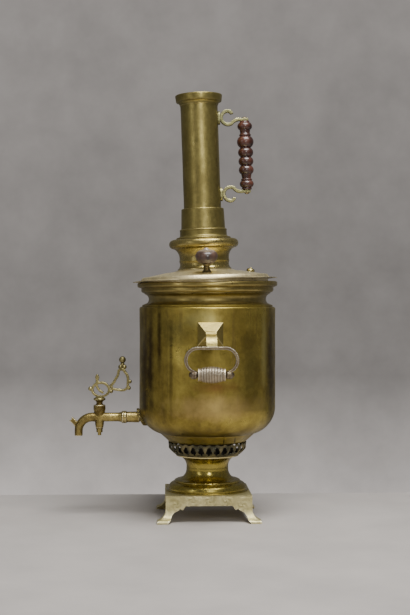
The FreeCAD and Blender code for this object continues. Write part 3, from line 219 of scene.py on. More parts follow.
colour = mixed(patina, drip, colour, given["Stain"])
speck = worked(patina, "MULTIPLY", ramped(patina, grit, 0.64, 0.72), given["Specks"])
colour = mixed(patina, speck, colour, given["Stain"])
light = ramped(patina, fine, 0.3, 0.75, 0.86, 1.12)
colour = mixed(patina, 1.0, colour, grey(patina, light), "MULTIPLY")
shown = worked(patina, "ADD", crest, worked(patina, "MULTIPLY", fine, 0.3))
worn = worked(patina, "MULTIPLY", ramped(patina, shown, 0.3, 0.62), given["Wear"])
colour = mixed(patina, worn, colour, given["Rubbed"])
hidden = worked(patina, "ADD", worked(patina, "MULTIPLY", crest, -1.0),
                worked(patina, "MULTIPLY", fine, 0.3))
dirt = worked(patina, "MULTIPLY", ramped(patina, hidden, 0.28, 0.62), given["Dirt"])
colour = mixed(patina, dirt, colour, given["Stain"])
crusted = worked(patina, "ADD", worked(patina, "MULTIPLY", cloud, 0.6),
                 worked(patina, "MULTIPLY", fine, 0.4))
crusted = worked(patina, "ADD", crusted, worked(patina, "MULTIPLY", dirt, 0.12))
limit = worked(patina, "SUBTRACT", 0.78, worked(patina, "MULTIPLY", given["Crust Amount"], 0.42))
crust = add(patina, "MapRange", {0: crusted, 1: limit, 2: worked(patina, "ADD", limit, 0.1)}).outputs[0]
colour = mixed(patina, crust, colour, given["Crust"])
dull = worked(patina, "ADD", worked(patina, "MULTIPLY", tarnish, 0.16),
              worked(patina, "MULTIPLY", dirt, 0.2))
dull = worked(patina, "ADD", dull, worked(patina, "MULTIPLY", crust, 0.3))
dull = worked(patina, "ADD", dull, ramped(patina, fine, 0.3, 0.7, -0.05, 0.09))
dull = worked(patina, "SUBTRACT", dull, worked(patina, "MULTIPLY", worn, 0.1))
made = patina.nodes.new("NodeGroupOutput").inputs
patina.links.new(colour, made["Color"])
patina.links.new(worked(patina, "ADD", dull, given["Roughness"]), made["Roughness"])
film = worked(patina, "ADD", worked(patina, "MULTIPLY", dirt, 0.5),
              worked(patina, "MULTIPLY", crust, 0.75))
film = worked(patina, "ADD", film, worked(patina, "MULTIPLY", drip, 0.35))
patina.links.new(ramped(patina, film, 0.0, 1.0, 0.95, 0.1), made["Metallic"])
rise = worked(patina, "ADD", worked(patina, "MULTIPLY", fine, 0.5),
              worked(patina, "MULTIPLY", cloud, 0.8))
rise = worked(patina, "ADD", rise, worked(patina, "MULTIPLY", spun, 0.05))
rise = worked(patina, "SUBTRACT", rise, worked(patina, "MULTIPLY", speck, 0.4))
patina.links.new(rise, made["Height"])


def brass(name, relief, **values):
    """An aged brass finish. Relief is the depth of its unevenness in millimetres."""
    material = bpy.data.materials.new(name)
    material.use_nodes = True
    tree = material.node_tree
    shader = tree.nodes["Principled BSDF"]
    aged = tree.nodes.new("ShaderNodeGroup")
    aged.node_tree = patina
    for socket, value in values.items():
        aged.inputs[socket.replace("_", " ")].default_value = value
    bump = add(tree, "Bump", {"Strength": 0.6, "Distance": relief * mm,
                              "Height": aged.outputs["Height"]})
    tree.links.new(aged.outputs["Color"], shader.inputs["Base Color"])
    tree.links.new(aged.outputs["Roughness"], shader.inputs["Roughness"])
    tree.links.new(aged.outputs["Metallic"], shader.inputs["Metallic"])
    tree.links.new(bump.outputs[0], shader.inputs["Normal"])
    return material


def mounted(piece, body, slot, material, *replaced):
    """Gives a finished piece its material, its body and the CAD nodes that it stands for."""
    piece.data.materials.clear()
    piece.data.materials.append(material)
    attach(piece, body)
    if replaced:
        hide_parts(*replaced)


plinth = recast("plinth", "plinth_base", 1.0, 2)


def worn_scrollwork(point, normal):
    """Shallow scrolls along the apron and down each leg, and the mould's uneven skin."""
    level = abs(normal.z) < 0.5
    along = point.x if abs(normal.y) > abs(normal.x) else point.y
    depth = 0.0
    if level and point.z > 6.0:
        for middle in (-52.0, -27.0, 0.0, 27.0, 52.0):
            across = along - middle
            rise = point.z - (34.5 if abs(middle) < 50.0 else 27.0)
            far = math.hypot(across, rise)
            curl = math.cos(3.0 * math.atan2(rise, across * (1 if middle > 0 else -1)) + far * 0.75)
            depth += 0.42 * curl * math.exp(-((far / 10.5) ** 2))
        if 23.0 < point.z < 42.0:
            depth -= 0.35 * math.exp(-(((point.z - 40.2) / 0.9) ** 2))
    skin = 0.16 * noise.noise(point / 2.4)
    return normal * (depth + skin + 0.2 * noise.noise(point / 7.0) - 0.25)


moved_points(plinth, worn_scrollwork)
plinth_brass = brass(
    "plinth brass", 0.8, Metal=tint(0.78, 0.7, 0.37), Tarnish=tint(0.52, 0.46, 0.22),
    Stain=tint(0.08, 0.06, 0.025), Rubbed=tint(0.95, 0.9, 0.62), Crust=tint(0.32, 0.33, 0.17),
    Tarnish_Amount=0.5, Streaks=0.15, Specks=0.5, Wear=0.8, Dirt=1.0, Crust_Amount=0.32, Roughness=0.42,
    Scale=1.6,
)
mounted(weathered(plinth), "vessel", "plinth_casting", plinth_brass, "plinth_base")

# Pedestal
# Spun sheet brass, soldered to the plinth: a flat flange, a quarter-round, a bead and a flared
# waist. It was handled and cleaned more than the vessel, so it shines.

plinth_top = 42.4
sheet = 1.4


def traced(line, fineness):
    """Dense points along (radius, height) corners. A number between two corners bows that stretch:
    it is the arc's radius as a share of the straight distance, and below zero it curves inwards."""
    dense = []
    bow = None
    for item in line:
        if not isinstance(item, tuple):
            bow = item
            continue
        if dense:
            start = Vector(dense[-1])
            run = Vector(item) - start
            chord = run.length
            if bow is None:
                parts = max(1, math.ceil(chord / (fineness * 3)))
                dense += [tuple(start + run * part / parts) for part in range(1, parts)]
            else:
                radius = abs(bow) * chord
                side = 1 if bow > 0 else -1
                inward = Vector((-run.y, run.x)) / chord * side
                centre = start + run / 2 + inward * math.sqrt(max(radius ** 2 - chord ** 2 / 4, 0.0))
                sweep = 2 * math.asin(min(1.0, chord / 2 / radius)) * side
                parts = max(4, math.ceil(abs(sweep) * radius / fineness))
                spoke = start - centre
                for part in range(1, parts):
                    angle = sweep * part / parts
                    turned_spoke = Vector((spoke.x * math.cos(angle) - spoke.y * math.sin(angle),
                                           spoke.x * math.sin(angle) + spoke.y * math.cos(angle)))
                    dense.append(tuple(centre + turned_spoke))
        dense.append(item)
        bow = None
    return dense


def lined(dense, wall):
    """The inner face of a sheet whose outer face is given, from its last point back to its first.
    It is hidden, so it keeps only every third point."""
    inner = []
    for index, point in enumerate(dense):
        before = Vector(dense[max(index - 1, 0)])
        after = Vector(dense[min(index + 1, len(dense) - 1)])
        run = (after - before).normalized()
        inner.append((max(point[0] - run.y * wall, 0.0), point[1] + run.x * wall))
    kept = [p for i, p in enumerate(inner) if i % 3 == 0 or i == len(inner) - 1]
    return kept[::-1]


def turned(name, line, seat, steps, wall=None, fineness=1.5, shift=None):
    """A piece spun or turned about its seat's Z axis. Sizes are in millimetres."""
    dense = traced(line, fineness)
    if wall is not None:
        dense = dense + lined(dense, wall)
    mesh = bpy.data.meshes.new(name)
    points = []
    rings = []
    for radius, height in dense:
        if radius < 1e-6:
            rings.append([len(points)])
            points.append((0.0, 0.0, height))
            continue
        rings.append(list(range(len(points), len(points) + steps)))
        for step in range(steps):
            angle = 2 * math.pi * step / steps
            points.append((radius * math.cos(angle), radius * math.sin(angle), height))
    faces = []
    for low, high in zip(rings, rings[1:] + rings[:1]):
        if len(low) == 1 and len(high) == 1:
            continue
        for step in range(steps):
            corners = [low[step % len(low)], low[(step + 1) % len(low)],
                       high[(step + 1) % len(high)], high[step % len(high)]]
            faces.append(list(dict.fromkeys(corners)))
    standing = []
    for point in points:
        spot = Vector(point)
        if shift is not None:
            spot += shift(spot)
        standing.append((seat @ spot) * mm)
    mesh.from_pydata(standing, [], faces)
    shell = bmesh.new()
    shell.from_mesh(mesh)
    bmesh.ops.remove_doubles(shell, verts=shell.verts, dist=1e-6)
    bmesh.ops.recalc_face_normals(shell, faces=shell.faces)
    shell.to_mesh(mesh)
    shell.free()
    return weathered(placed(name, mesh))


pedestal_seat = Matrix.Translation((0, 0, plinth_top))
pedestal_line = [
    (66.0, 0.0), (66.1, 0.4), 0.7, (65.9, 1.5), (63.6, 1.9), (63.0, 2.4), 0.68, (52.9, 13.4),
    (52.6, 14.0), 0.56, (52.0, 16.6), (50.4, 17.3), -0.68, (33.9, 35.4), -0.665, (50.4, 55.5),
    (50.5, 57.0),
]
pedestal = turned("pedestal", pedestal_line, pedestal_seat, steps=224, wall=sheet)
pedestal_brass = brass(
    "pedestal brass", 0.25, Metal=tint(0.43, 0.345, 0.08), Tarnish=tint(0.3, 0.235, 0.06),
    Stain=tint(0.06, 0.04, 0.015), Rubbed=tint(0.8, 0.69, 0.36), Crust=tint(0.22, 0.24, 0.12),
    Tarnish_Amount=0.25, Streaks=0.25, Specks=0.35, Wear=0.75, Dirt=0.9, Crust_Amount=0.1,
    Roughness=0.2,
)
mounted(pedestal, "vessel", "vessel_brass", pedestal_brass, "foot_pedestal")

# Draft gallery
# A cast openwork band that lets air in under the fire. Thirty like panels, each with a spade-shaped
# hole and a low scalloped tip that laps over the foot of the bowl, stand round the pedestal's top.

gallery_foot = plinth_top + 57.1
panels = 30
gallery_radius = 61.2
panel_half = math.pi * gallery_radius / panels
side_heights = (3.0, 5.5, 8.0, 11.0, 15.0)
scallop = ((-1.0, 18.6), (-0.7, 18.5), (-0.45, 19.4), (-0.2, 20.4), (0.0, 20.9),
           (0.2, 20.4), (0.45, 19.4), (0.7, 18.5), (1.0, 18.6))
tip = [(panel_half * share, z) for share, z in scallop]
left_side = [(-panel_half, z) for z in side_heights]
right_side = [(panel_half, z) for z in reversed(side_heights)]
foot_edge = [(panel_half, 0.4), (-panel_half, 0.4)]
spade = [(0.0, 2.6), (1.9, 2.9), (2.1, 4.6), (1.8, 5.8), (3.2, 5.2), (4.8, 6.2), (5.3, 8.6),
         (4.8, 11.0), (3.6, 12.0), (3.5, 13.4), (2.6, 15.8), (0.0, 17.4)]
spade = spade + [(-x, z) for x, z in reversed(spade[1:-1])]
flat = bpy.data.curves.new("gallery panel line", "CURVE")
flat.dimensions = "2D"
flat.fill_mode = "BOTH"
flat.extrude = 0.55 * mm
flat.bevel_depth = 0.35 * mm
flat.bevel_resolution = 1
for line in (right_side + foot_edge + left_side + tip, spade):
    loop = flat.splines.new("POLY")
    loop.points.add(len(line) - 1)
    for point, (x, z) in zip(loop.points, line):
        point.co = (x * mm, z * mm, 0.0, 1.0)
    loop.use_cyclic_u = True
flat_panel = placed("gallery panel line", flat)
panel_mesh = as_mesh(flat_panel)
bpy.data.objects.remove(flat_panel)


def faded(distance, span):
    """0 at a border and outside it, 1 from a span inside it on, and a slope between them."""
    return min(1.0, max(0.0, distance / span))


fine_panel = bmesh.new()
fine_panel.from_mesh(panel_mesh)
bmesh.ops.remove_doubles(fine_panel, verts=fine_panel.verts, dist=1e-6)
bmesh.ops.triangulate(fine_panel, faces=fine_panel.faces)
for point in fine_panel.verts:
    x, z, out = (value / mm for value in point.co)
    flare = 50.4 + 10.8 * faded(z - 0.6, 10.0) ** 0.8
    lap = 1.6 * max(0.0, (z - 17.0) / 4.0)
    radius = flare + out + lap - 0.4 * math.cos(x / panel_half * math.pi)
    angle = x / gallery_radius
    point.co = Vector((radius * math.sin(angle), -radius * math.cos(angle), z)) * mm
bmesh.ops.recalc_face_normals(fine_panel, faces=fine_panel.faces)
fine_panel.to_mesh(panel_mesh)
fine_panel.free()
panel = placed("gallery panel", panel_mesh)

# Repeats one panel round the vessel's axis. Count and Height are its inputs.
ring_tree = bpy.data.node_groups.new("ring of panels", "GeometryNodeTree")
ring_tree.is_modifier = True
ring_tree.interface.new_socket("Geometry", in_out="INPUT", socket_type="NodeSocketGeometry")
ring_sockets = {}
for label, kind in (("Panel", "Object"), ("Count", "Int"), ("Height", "Float"), ("Finish", "Material")):
    ring_sockets[label] = ring_tree.interface.new_socket(
        label, in_out="INPUT", socket_type="NodeSocket" + kind).identifier
ring_tree.interface.new_socket("Geometry", in_out="OUTPUT", socket_type="NodeSocketGeometry")
ring_in = ring_tree.nodes.new("NodeGroupInput").outputs
ring_points = add(ring_tree, "GeometryNodePoints", {"Count": ring_in["Count"]}).outputs[0]
index = add(ring_tree, "GeometryNodeInputIndex").outputs[0]
turn = worked(ring_tree, "DIVIDE", 2 * math.pi, ring_in["Count"])
turn = worked(ring_tree, "MULTIPLY", index, turn)
facing_out = add(ring_tree, "CombineXYZ", {"Z": turn}).outputs[0]
lifted = add(ring_tree, "CombineXYZ", {"Z": ring_in["Height"]}).outputs[0]
raised = add(ring_tree, "GeometryNodeSetPosition", {"Geometry": ring_points, "Position": lifted})
fetched = add(ring_tree, "GeometryNodeObjectInfo", {"Object": ring_in["Panel"]})
stood = add(ring_tree, "GeometryNodeInstanceOnPoints", {
    "Points": raised.outputs[0], "Instance": fetched.outputs["Geometry"], "Rotation": facing_out})
solid = add(ring_tree, "GeometryNodeRealizeInstances", {"Geometry": stood.outputs[0]})
coated = add(ring_tree, "GeometryNodeSetMaterial", {
    "Geometry": solid.outputs[0], "Material": ring_in["Finish"]})
ring_tree.links.new(coated.outputs[0], ring_tree.nodes.new("NodeGroupOutput").inputs[0])

gallery_brass = brass(
    "gallery brass", 0.9, Metal=tint(0.38, 0.32, 0.16), Tarnish=tint(0.10, 0.095, 0.06),
    Stain=tint(0.018, 0.017, 0.013), Rubbed=tint(0.86, 0.82, 0.6), Crust=tint(0.40, 0.43, 0.34),
    Tarnish_Amount=0.9, Streaks=0.4, Specks=0.9, Wear=0.9, Dirt=1.0, Crust_Amount=0.42, Roughness=0.5,
    Scale=2.4,
)
gallery = placed("gallery", bpy.data.meshes.new("gallery"))
ring = gallery.modifiers.new("ring of panels", "NODES")
ring.node_group = ring_tree
ring[ring_sockets["Panel"]] = panel
ring[ring_sockets["Count"]] = panels
ring[ring_sockets["Height"]] = gallery_foot * mm
ring[ring_sockets["Finish"]] = gallery_brass
gallery_mesh = as_mesh(gallery)
gallery.modifiers.clear()
gallery.data = gallery_mesh
bpy.data.objects.remove(panel)


def on_seam(face):
    """Whether a face is the side edge of a panel, which the next panel covers."""
    middle = face.calc_center_median()
    outward = abs(face.normal.dot(middle.xy.to_3d().normalized()))
    pitch = 2 * math.pi / panels
    past = math.remainder(math.atan2(middle.x, -middle.y) - math.pi / panels, pitch)
    return abs(face.normal.z) < 0.3 and outward < 0.25 and abs(past) < 0.004


joined_ring = bmesh.new()
joined_ring.from_mesh(gallery_mesh)
seam = [face for face in joined_ring.faces if on_seam(face)]
bmesh.ops.delete(joined_ring, geom=seam, context="FACES")
bmesh.ops.remove_doubles(joined_ring, verts=joined_ring.verts, dist=3e-5)
bmesh.ops.subdivide_edges(joined_ring, edges=joined_ring.edges, cuts=1, use_grid_fill=True)
joined_ring.to_mesh(gallery_mesh)
joined_ring.free()
roughened(gallery, 0.22, 2.2)
weathered(gallery, reach=2.0, smooth_angle=50.0)
mounted(gallery, "vessel", "vessel_brass", gallery_brass, "draft_gallery")

# Vessel
# The drum that holds the water, spun and beaten from brass sheet, with a creased bowl below and a
# rounded shoulder above. A century of use has left it dented, streaked and unevenly brown. Painted
# shade darkens its left and right edges and a patch under the side grips, and painted light
# brightens a band on the right and a patch low on the drum.

body_foot = gallery_foot + 21.0
body_radius = 110.0
body_height = 222.5

# Each dent: angle round the vessel, height, half width and depth.
dents = [
    (-0.95, 96.0, 22.0, 0.9), (-1.95, 150.0, 30.0, 0.9), (-2.4, 60.0, 24.0, 1.1),
    (-0.35, 170.0, 26.0, 0.9), (-1.2, 190.0, 34.0, 0.7), (0.9, 120.0, 30.0, 1.0),
    (2.2, 90.0, 28.0, 1.1), (2.9, 160.0, 34.0, 0.9), (-1.62, 34.0, 16.0, 0.8),
    (-1.15, 30.0, 12.0, 0.8),
]


def pressed_in(spot, depth):
    """A move towards the turning axis."""
    radius = math.hypot(spot.x, spot.y)
    return Vector((spot.x, spot.y, 0.0)) / max(radius, 1e-6) * -depth


def beaten(spot):
    """Dents and slow waves in the sheet, all of them inwards."""
    angle = math.atan2(spot.y, spot.x)
    inward = 0.55 * (0.5 + 0.5 * noise.noise(Vector((spot.x, spot.y, spot.z * 0.8)) / 34.0))
    inward += 0.22 * (0.5 + 0.5 * noise.noise(Vector((spot.x, spot.y, spot.z)) / 13.0))
    for at, height, size, depth in dents:
        across = math.remainder(angle - at, 2 * math.pi) * body_radius
        far = math.hypot(across, spot.z - height)
        inward += depth * math.exp(-((far / size) ** 2))
    fade = faded(spot.z - 14.0, 14.0) * faded(222.0 - spot.z, 12.0)
    return pressed_in(spot, inward) * fade


body_line = [
    (42.1, 0.0), (61.3, 0.0), (75.6, 13.0), (76.2, 13.8), 0.807, (body_radius, 57.5),
    (body_radius, 213.0), 0.62, (105.4, 217.3), 0.56, (103.0, 220.6), (99.0, body_height),
    (95.2, body_height),
]
vessel = turned("vessel", body_line, Matrix.Translation((0, 0, body_foot)), steps=320, wall=sheet,
                fineness=1.6, shift=beaten)
vessel_brass = brass(
    "vessel brass", 0.5, Metal=tint(0.47, 0.37, 0.085), Tarnish=tint(0.23, 0.17, 0.036),
    Stain=tint(0.065, 0.036, 0.013), Rubbed=tint(0.68, 0.55, 0.22), Crust=tint(0.13, 0.14, 0.055),
    Tarnish_Amount=0.45, Streaks=0.6, Specks=0.5, Wear=0.5, Dirt=0.8, Crust_Amount=0.16, Roughness=0.28,
)


def stains_and_painted_light(material, spots):
    """Old stains on an aged finish, and patches of painted shade and light, each as x, z, half
    width, half height, colour and strength. Lengths are in millimetres."""
    tree = material.node_tree
    base = tree.nodes["Principled BSDF"].inputs["Base Color"]
    colour = base.links[0].from_socket
    place = add(tree, "TexCoord").outputs["Object"]
    ragged = clouds(tree, place, 60.0, 5.0, roughness=0.65)
    for x, z, wide, high, patch_tone, strength in spots:
        moved = add(tree, "Mapping", {"Vector": place, "Location": (-x / wide, 0.0, -z / high),
                                      "Scale": (1000.0 / wide, 0.0, 1000.0 / high)}).outputs[0]
        far = add(tree, "VectorMath", {0: moved}, operation="LENGTH").outputs["Value"]
        frayed = worked(tree, "ADD", far, worked(tree, "MULTIPLY", ragged, 1.6))
        colour = mixed(tree, ramped(tree, frayed, 1.1, 2.1, strength, 0.0), colour, patch_tone)
    tree.links.new(colour, base)


# Umber serves the real drips and the painted shade along the drum's edges.
umber_and_painted_edge_shade = tint(0.045, 0.026, 0.010)
moss = tint(0.075, 0.065, 0.020)
painted_highlight_straw = tint(0.60, 0.54, 0.20)
soot = tint(0.008, 0.006, 0.004)
stains_and_painted_light(vessel_brass, (
    # Painted reflection of the table, brightening the lower drum.
    (12.0, 182.0, 70.0, 20.0, tint(0.60, 0.43, 0.17), 0.55),
    (0.0, 138.0, 130.0, 15.0, tint(0.15, 0.105, 0.03), 0.6),
    # Painted shadow of the side grip, cast on the drum below it.
    (8.0, 214.0, 32.0, 10.0, tint(0.20, 0.085, 0.03), 0.7),
    (-12.0, 318.0, 26.0, 14.0, tint(0.62, 0.55, 0.20), 0.5),
    # Painted highlight: a bright upright band on the right of the drum.
    (86.0, 270.0, 5.0, 60.0, painted_highlight_straw, 0.45),
    (-92.0, 250.0, 5.0, 90.0, umber_and_painted_edge_shade, 0.85),
    (-78.0, 290.0, 3.5, 60.0, umber_and_painted_edge_shade, 0.8),
    (-60.0, 250.0, 3.0, 80.0, umber_and_painted_edge_shade, 0.55),
    # Painted shade along the drum's left edge, not a stain.
    (-101.0, 220.0, 6.0, 110.0, umber_and_painted_edge_shade, 0.8),
    (-52.0, 300.0, 26.0, 24.0, moss, 0.6),
    (62.0, 238.0, 16.0, 58.0, moss, 0.55),
    # Painted shade along the drum's right edge, not a stain.
    (98.0, 250.0, 9.0, 100.0, umber_and_painted_edge_shade, 0.8),
    (23.0, 126.5, 0.9, 5.5, soot, 0.95),
    (41.0, 127.5, 0.9, 6.5, soot, 0.95),
))
mounted(vessel, "vessel", "vessel_brass", vessel_brass, "body_wall")

# Neck
# A separate spun ring soldered on the shoulder: a deep cove, a half-round band and a rolled edge.
# The lid rests on it, and its top leans with the lid.

rim_foot = body_foot + body_height
rim_radius = 113.0
rim_height = 33.0
neck_tilt = 3.2
rim_line = [
    (95.2, 0.0), (98.4, 0.0), -0.56, (100.4, 14.5), (102.0, 15.7), (102.0, 16.8), 0.58, (106.8, 22.8),
    (106.8, 24.1), (109.6, 25.2), 0.6, (rim_radius, 29.7), 0.62, (110.6, rim_height),
    (108.6, rim_height),
]


def neck_waves(spot):
    """A thin ring never stays quite round. This one stands higher away from the tap."""
    lift = 0.35 * noise.noise(Vector((spot.x, spot.y, 0.0)) / 60.0) * min(1.0, spot.z / 20.0)
    rise = neck_tilt * max(0.0, spot.x) / rim_radius * spot.z / rim_height
    inward = 0.3 * (0.5 + 0.5 * noise.noise(Vector((spot.x, spot.y, spot.z)) / 22.0))
    return pressed_in(spot, inward) + Vector((0, 0, min(lift, 0.0) + rise))


neck = turned("neck", rim_line, Matrix.Translation((0, 0, rim_foot)), steps=288, wall=sheet,
              fineness=1.1, shift=neck_waves)
neck_brass = brass(
    "neck brass", 0.3, Metal=tint(0.44, 0.35, 0.12), Tarnish=tint(0.22, 0.17, 0.055),
    Stain=tint(0.05, 0.032, 0.014), Rubbed=tint(0.76, 0.66, 0.36), Crust=tint(0.16, 0.18, 0.08),
    Tarnish_Amount=0.4, Streaks=0.3, Specks=0.5, Wear=0.8, Dirt=0.9, Crust_Amount=0.1, Roughness=0.25,
)
mounted(neck, "vessel", "vessel_brass", neck_brass, "neck_rim")

# Fire tube and grate
# A sheet-iron tube up the middle of the vessel and a cast grate at its foot, both black with soot.
# They are seen only from above or with the lid off.


def plain_finish(name, dark, light, scale, roughness, metallic, relief):
    """A finish of two tones in small clouds, for iron, leather and worn plain surfaces."""
    material = bpy.data.materials.new(name)
    material.use_nodes = True
    tree = material.node_tree
    shader = tree.nodes["Principled BSDF"]
    place = add(tree, "TexCoord").outputs["Object"]
    grain = clouds(tree, place, scale, 6.0, roughness=0.65)
    spread = ramped(tree, grain, 0.35, 0.65)
    bump = add(tree, "Bump", {"Strength": 0.7, "Distance": relief * mm, "Height": grain})
    tree.links.new(mixed(tree, spread, dark, light), shader.inputs["Base Color"])
    dull = ramped(tree, grain, 0.3, 0.7, roughness - 0.1, roughness + 0.12)
    tree.links.new(dull, shader.inputs["Roughness"])
    tree.links.new(bump.outputs[0], shader.inputs["Normal"])
    shader.inputs["Metallic"].default_value = metallic
    return material


def finished(node, material):
    """A CAD piece that stays as it is, with its real finish."""
    mesh = nodes[node].data
    mesh.materials.clear()
    mesh.materials.append(material)


sooty_iron = plain_finish("sooty iron", tint(0.012, 0.011, 0.010), tint(0.06, 0.052, 0.045),
                          scale=120.0, roughness=0.8, metallic=0.4, relief=0.6)
finished("fire_tube", sooty_iron)
finished("grate", sooty_iron)

# Tap
# A cast cock with a beaded shank and a bent spout, glossy where it is handled and nearly black in
# its hollows, on a rosette cast to the curve of the bowl. The key above it is an openwork casting.

tap_brass = brass(
    "tap brass", 0.4, Metal=tint(0.46, 0.36, 0.12), Tarnish=tint(0.15, 0.105, 0.032),
    Stain=tint(0.03, 0.019, 0.009), Rubbed=tint(0.82, 0.72, 0.42), Crust=tint(0.26, 0.29, 0.16),
    Tarnish_Amount=0.55, Streaks=0.3, Specks=0.6, Wear=0.85, Dirt=1.0, Crust_Amount=0.16, Roughness=0.3,
    Scale=2.2,
)
tap = recast("tap", "tap_body", 0.6, 3)
roughened(tap, 0.12, 2.5)
mounted(weathered(tap, reach=2.4), "vessel", "tap_brass", tap_brass, "tap_body")
tap_height = 159.9
rosette = recast("rosette", "tap_rosette", 0.5, 2)


def petals(point, normal):
    """Twelve lobes round the rosette."""
    out = Vector((0.0, point.y, point.z - tap_height))
    wave = math.cos(12.0 * math.atan2(out.z, out.y))
    edge = faded(out.length - 9.5, 4.0)
    return out.normalized() * min(0.0, wave - 0.6) * 0.7 * edge


moved_points(rosette, petals)
rosette_brass = brass(
    "rosette brass", 0.4, Metal=tint(0.20, 0.155, 0.05), Tarnish=tint(0.08, 0.06, 0.02),
    Stain=tint(0.02, 0.014, 0.008), Rubbed=tint(0.5, 0.42, 0.2),
    Tarnish_Amount=0.7, Wear=0.35, Dirt=1.0, Roughness=0.35, Scale=2.0,
)
mounted(weathered(rosette, reach=2.4), "vessel", "tap_brass", rosette_brass, "tap_rosette")
for small in ("tap_backnut", "plug_washer", "plug_nut", "tap_plug"):
    finished(small, tap_brass)
packed_leather = plain_finish("packed leather", tint(0.05, 0.03, 0.018), tint(0.13, 0.08, 0.05),
                              scale=400.0, roughness=0.8, metallic=0.0, relief=0.4)
finished("tap_gasket", packed_leather)


def thickened(piece, depth, inside, span):
    """Swells a casting by depth, and by less over a span inside the border where inside is 0."""
    moved_points(piece, lambda point, normal: normal * depth * faded(inside(point), span))


key_brass = brass(
    "key brass", 0.4, Metal=tint(0.42, 0.36, 0.15), Tarnish=tint(0.16, 0.135, 0.055),
    Stain=tint(0.03, 0.022, 0.012), Rubbed=tint(0.56, 0.49, 0.25), Crust=tint(0.26, 0.30, 0.18),
    Tarnish_Amount=0.6, Streaks=0.2, Specks=0.6, Wear=0.4, Dirt=1.0, Crust_Amount=0.2, Roughness=0.3,
    Scale=2.4,
)
key = recast("tap_key", "key_scroll", 0.45, 3)
thickened(key, 0.5, lambda point: point.z - 193.0, 4.0)
roughened(key, 0.12, 2.0)
mounted(weathered(key, reach=2.0), "tap_key", "tap_brass", key_brass, "key_scroll")

# Side handles
# Each is a square cast bracket with a bent neck, a strap brazed under it that ends in two knuckles,
# and a ribbed barrel that rolls on a rod between them.

bracket_brass = brass(
    "bracket brass", 0.4, Metal=tint(0.42, 0.34, 0.105), Tarnish=tint(0.26, 0.21, 0.07),
    Stain=tint(0.06, 0.045, 0.02), Rubbed=tint(0.86, 0.78, 0.46), Crust=tint(0.42, 0.47, 0.36),
    Tarnish_Amount=0.3, Streaks=0.2, Specks=0.5, Wear=0.35, Dirt=0.9, Crust_Amount=0.14, Roughness=0.33,
    Scale=2.0,
)
strap_metal = brass(
    "strap metal", 0.35, Metal=tint(0.27, 0.21, 0.12), Tarnish=tint(0.13, 0.095, 0.06),
    Stain=tint(0.05, 0.035, 0.03), Rubbed=tint(0.62, 0.58, 0.48), Crust=tint(0.3, 0.42, 0.46),
    Tarnish_Amount=0.5, Streaks=0.2, Specks=0.5, Wear=0.55, Dirt=0.9, Crust_Amount=0.08, Roughness=0.3,
    Scale=2.4,
)
rib_metal = brass(
    "ribbed metal", 0.3, Metal=tint(0.46, 0.35, 0.21), Tarnish=tint(0.19, 0.13, 0.075),
    Stain=tint(0.03, 0.022, 0.018), Rubbed=tint(0.8, 0.73, 0.58), Crust=tint(0.5, 0.5, 0.46),
    Tarnish_Amount=0.4, Streaks=0.1, Specks=0.4, Wear=0.6, Dirt=1.0, Crust_Amount=0.05, Roughness=0.4,
    Scale=2.4,
)
ribs = 15
rib_pitch = 35.0 / ribs
grip_line = [(2.6, -20.4), (9.4, -20.4), (9.7, -19.2), (9.4, -18.0)]
for rib in range(ribs):
    middle = (rib + 0.5) / ribs * 2 - 1
    crown = 13.1 - 3.0 * middle ** 2
    foot = -17.5 + rib_pitch * rib
    grip_line += [(crown - 1.2, foot + 0.25), 0.53, (crown - 1.2, foot + 2.1)]
grip_line += [(9.4, 18.0), (9.7, 19.2), (9.4, 20.4), (2.6, 20.4)]
for side, sign in (("near", -1), ("far", 1)):
    bracket = recast(side + "_bracket", side + "_side_bracket", 0.5, 1)
    roughened(bracket, 0.1, 3.0)
    weathered(bracket, reach=2.0)
    mounted(bracket, "vessel", "bracket_brass", bracket_brass, side + "_side_bracket")
    strap = recast(side + "_strap", side + "_stirrup", 0.5, 3)
    thickened(strap, 0.5, lambda point: point.z - 248.0, 6.0)
    roughened(strap, 0.12, 4.0)
    weathered(strap, reach=2.2)
    mounted(strap, "vessel", "stirrup_metal", strap_metal, side + "_stirrup")
    finished(side + "_grip_rod", strap_metal)
    middle_of_grip = Matrix.Translation((0, sign * 150.0, 235.7))
    along_grip = middle_of_grip @ Matrix.Rotation(math.pi / 2, 4, "Y")
    grip = turned(side + "_grip", grip_line, along_grip, steps=96, fineness=0.5)
    mounted(grip, side + "_grip", "ribbed_grip", rib_metal, side + "_side_grip")

# Lid
# Spun sheet with a flat brim, a stepped edge and a shallow cone. Its top is rubbed pale, and it sits
# askew on the worn neck, so that everything above leans a little.

lean = math.radians(2.0)
lid_seat = Matrix.Translation((-3.8, 0.0, 381.69)) @ Matrix.Rotation(-lean, 4, "Y")
lid_top = 15.8
step_radius = 97.0
step_height = 6.0
lid_line = [
    (116.4, 0.1), (104.0, 0.6), (103.1, 2.4), 0.72, (step_radius, step_height), (63.0, 12.4), -2.4,
    (44.1, 15.7), (39.5, lid_top),
]


def lid_waves(spot):
    """The brim is bent a little and the cone has gone soft in places."""
    radius = math.hypot(spot.x, spot.y)
    angle = math.atan2(spot.y, spot.x)
    brim = faded(radius - 98.0, 16.0)
    edge = 0.32 * math.sin(angle * 5.0 + 0.8) + 0.24 * math.sin(angle * 9.0)
    cone = -0.5 * (0.5 + 0.5 * noise.noise(Vector((spot.x, spot.y, 0.0)) / 24.0))
    middle = faded(radius - 48.0, 8.0) * faded(96.0 - radius, 8.0)
    return Vector((0.0, 0.0, brim * edge + middle * cone))


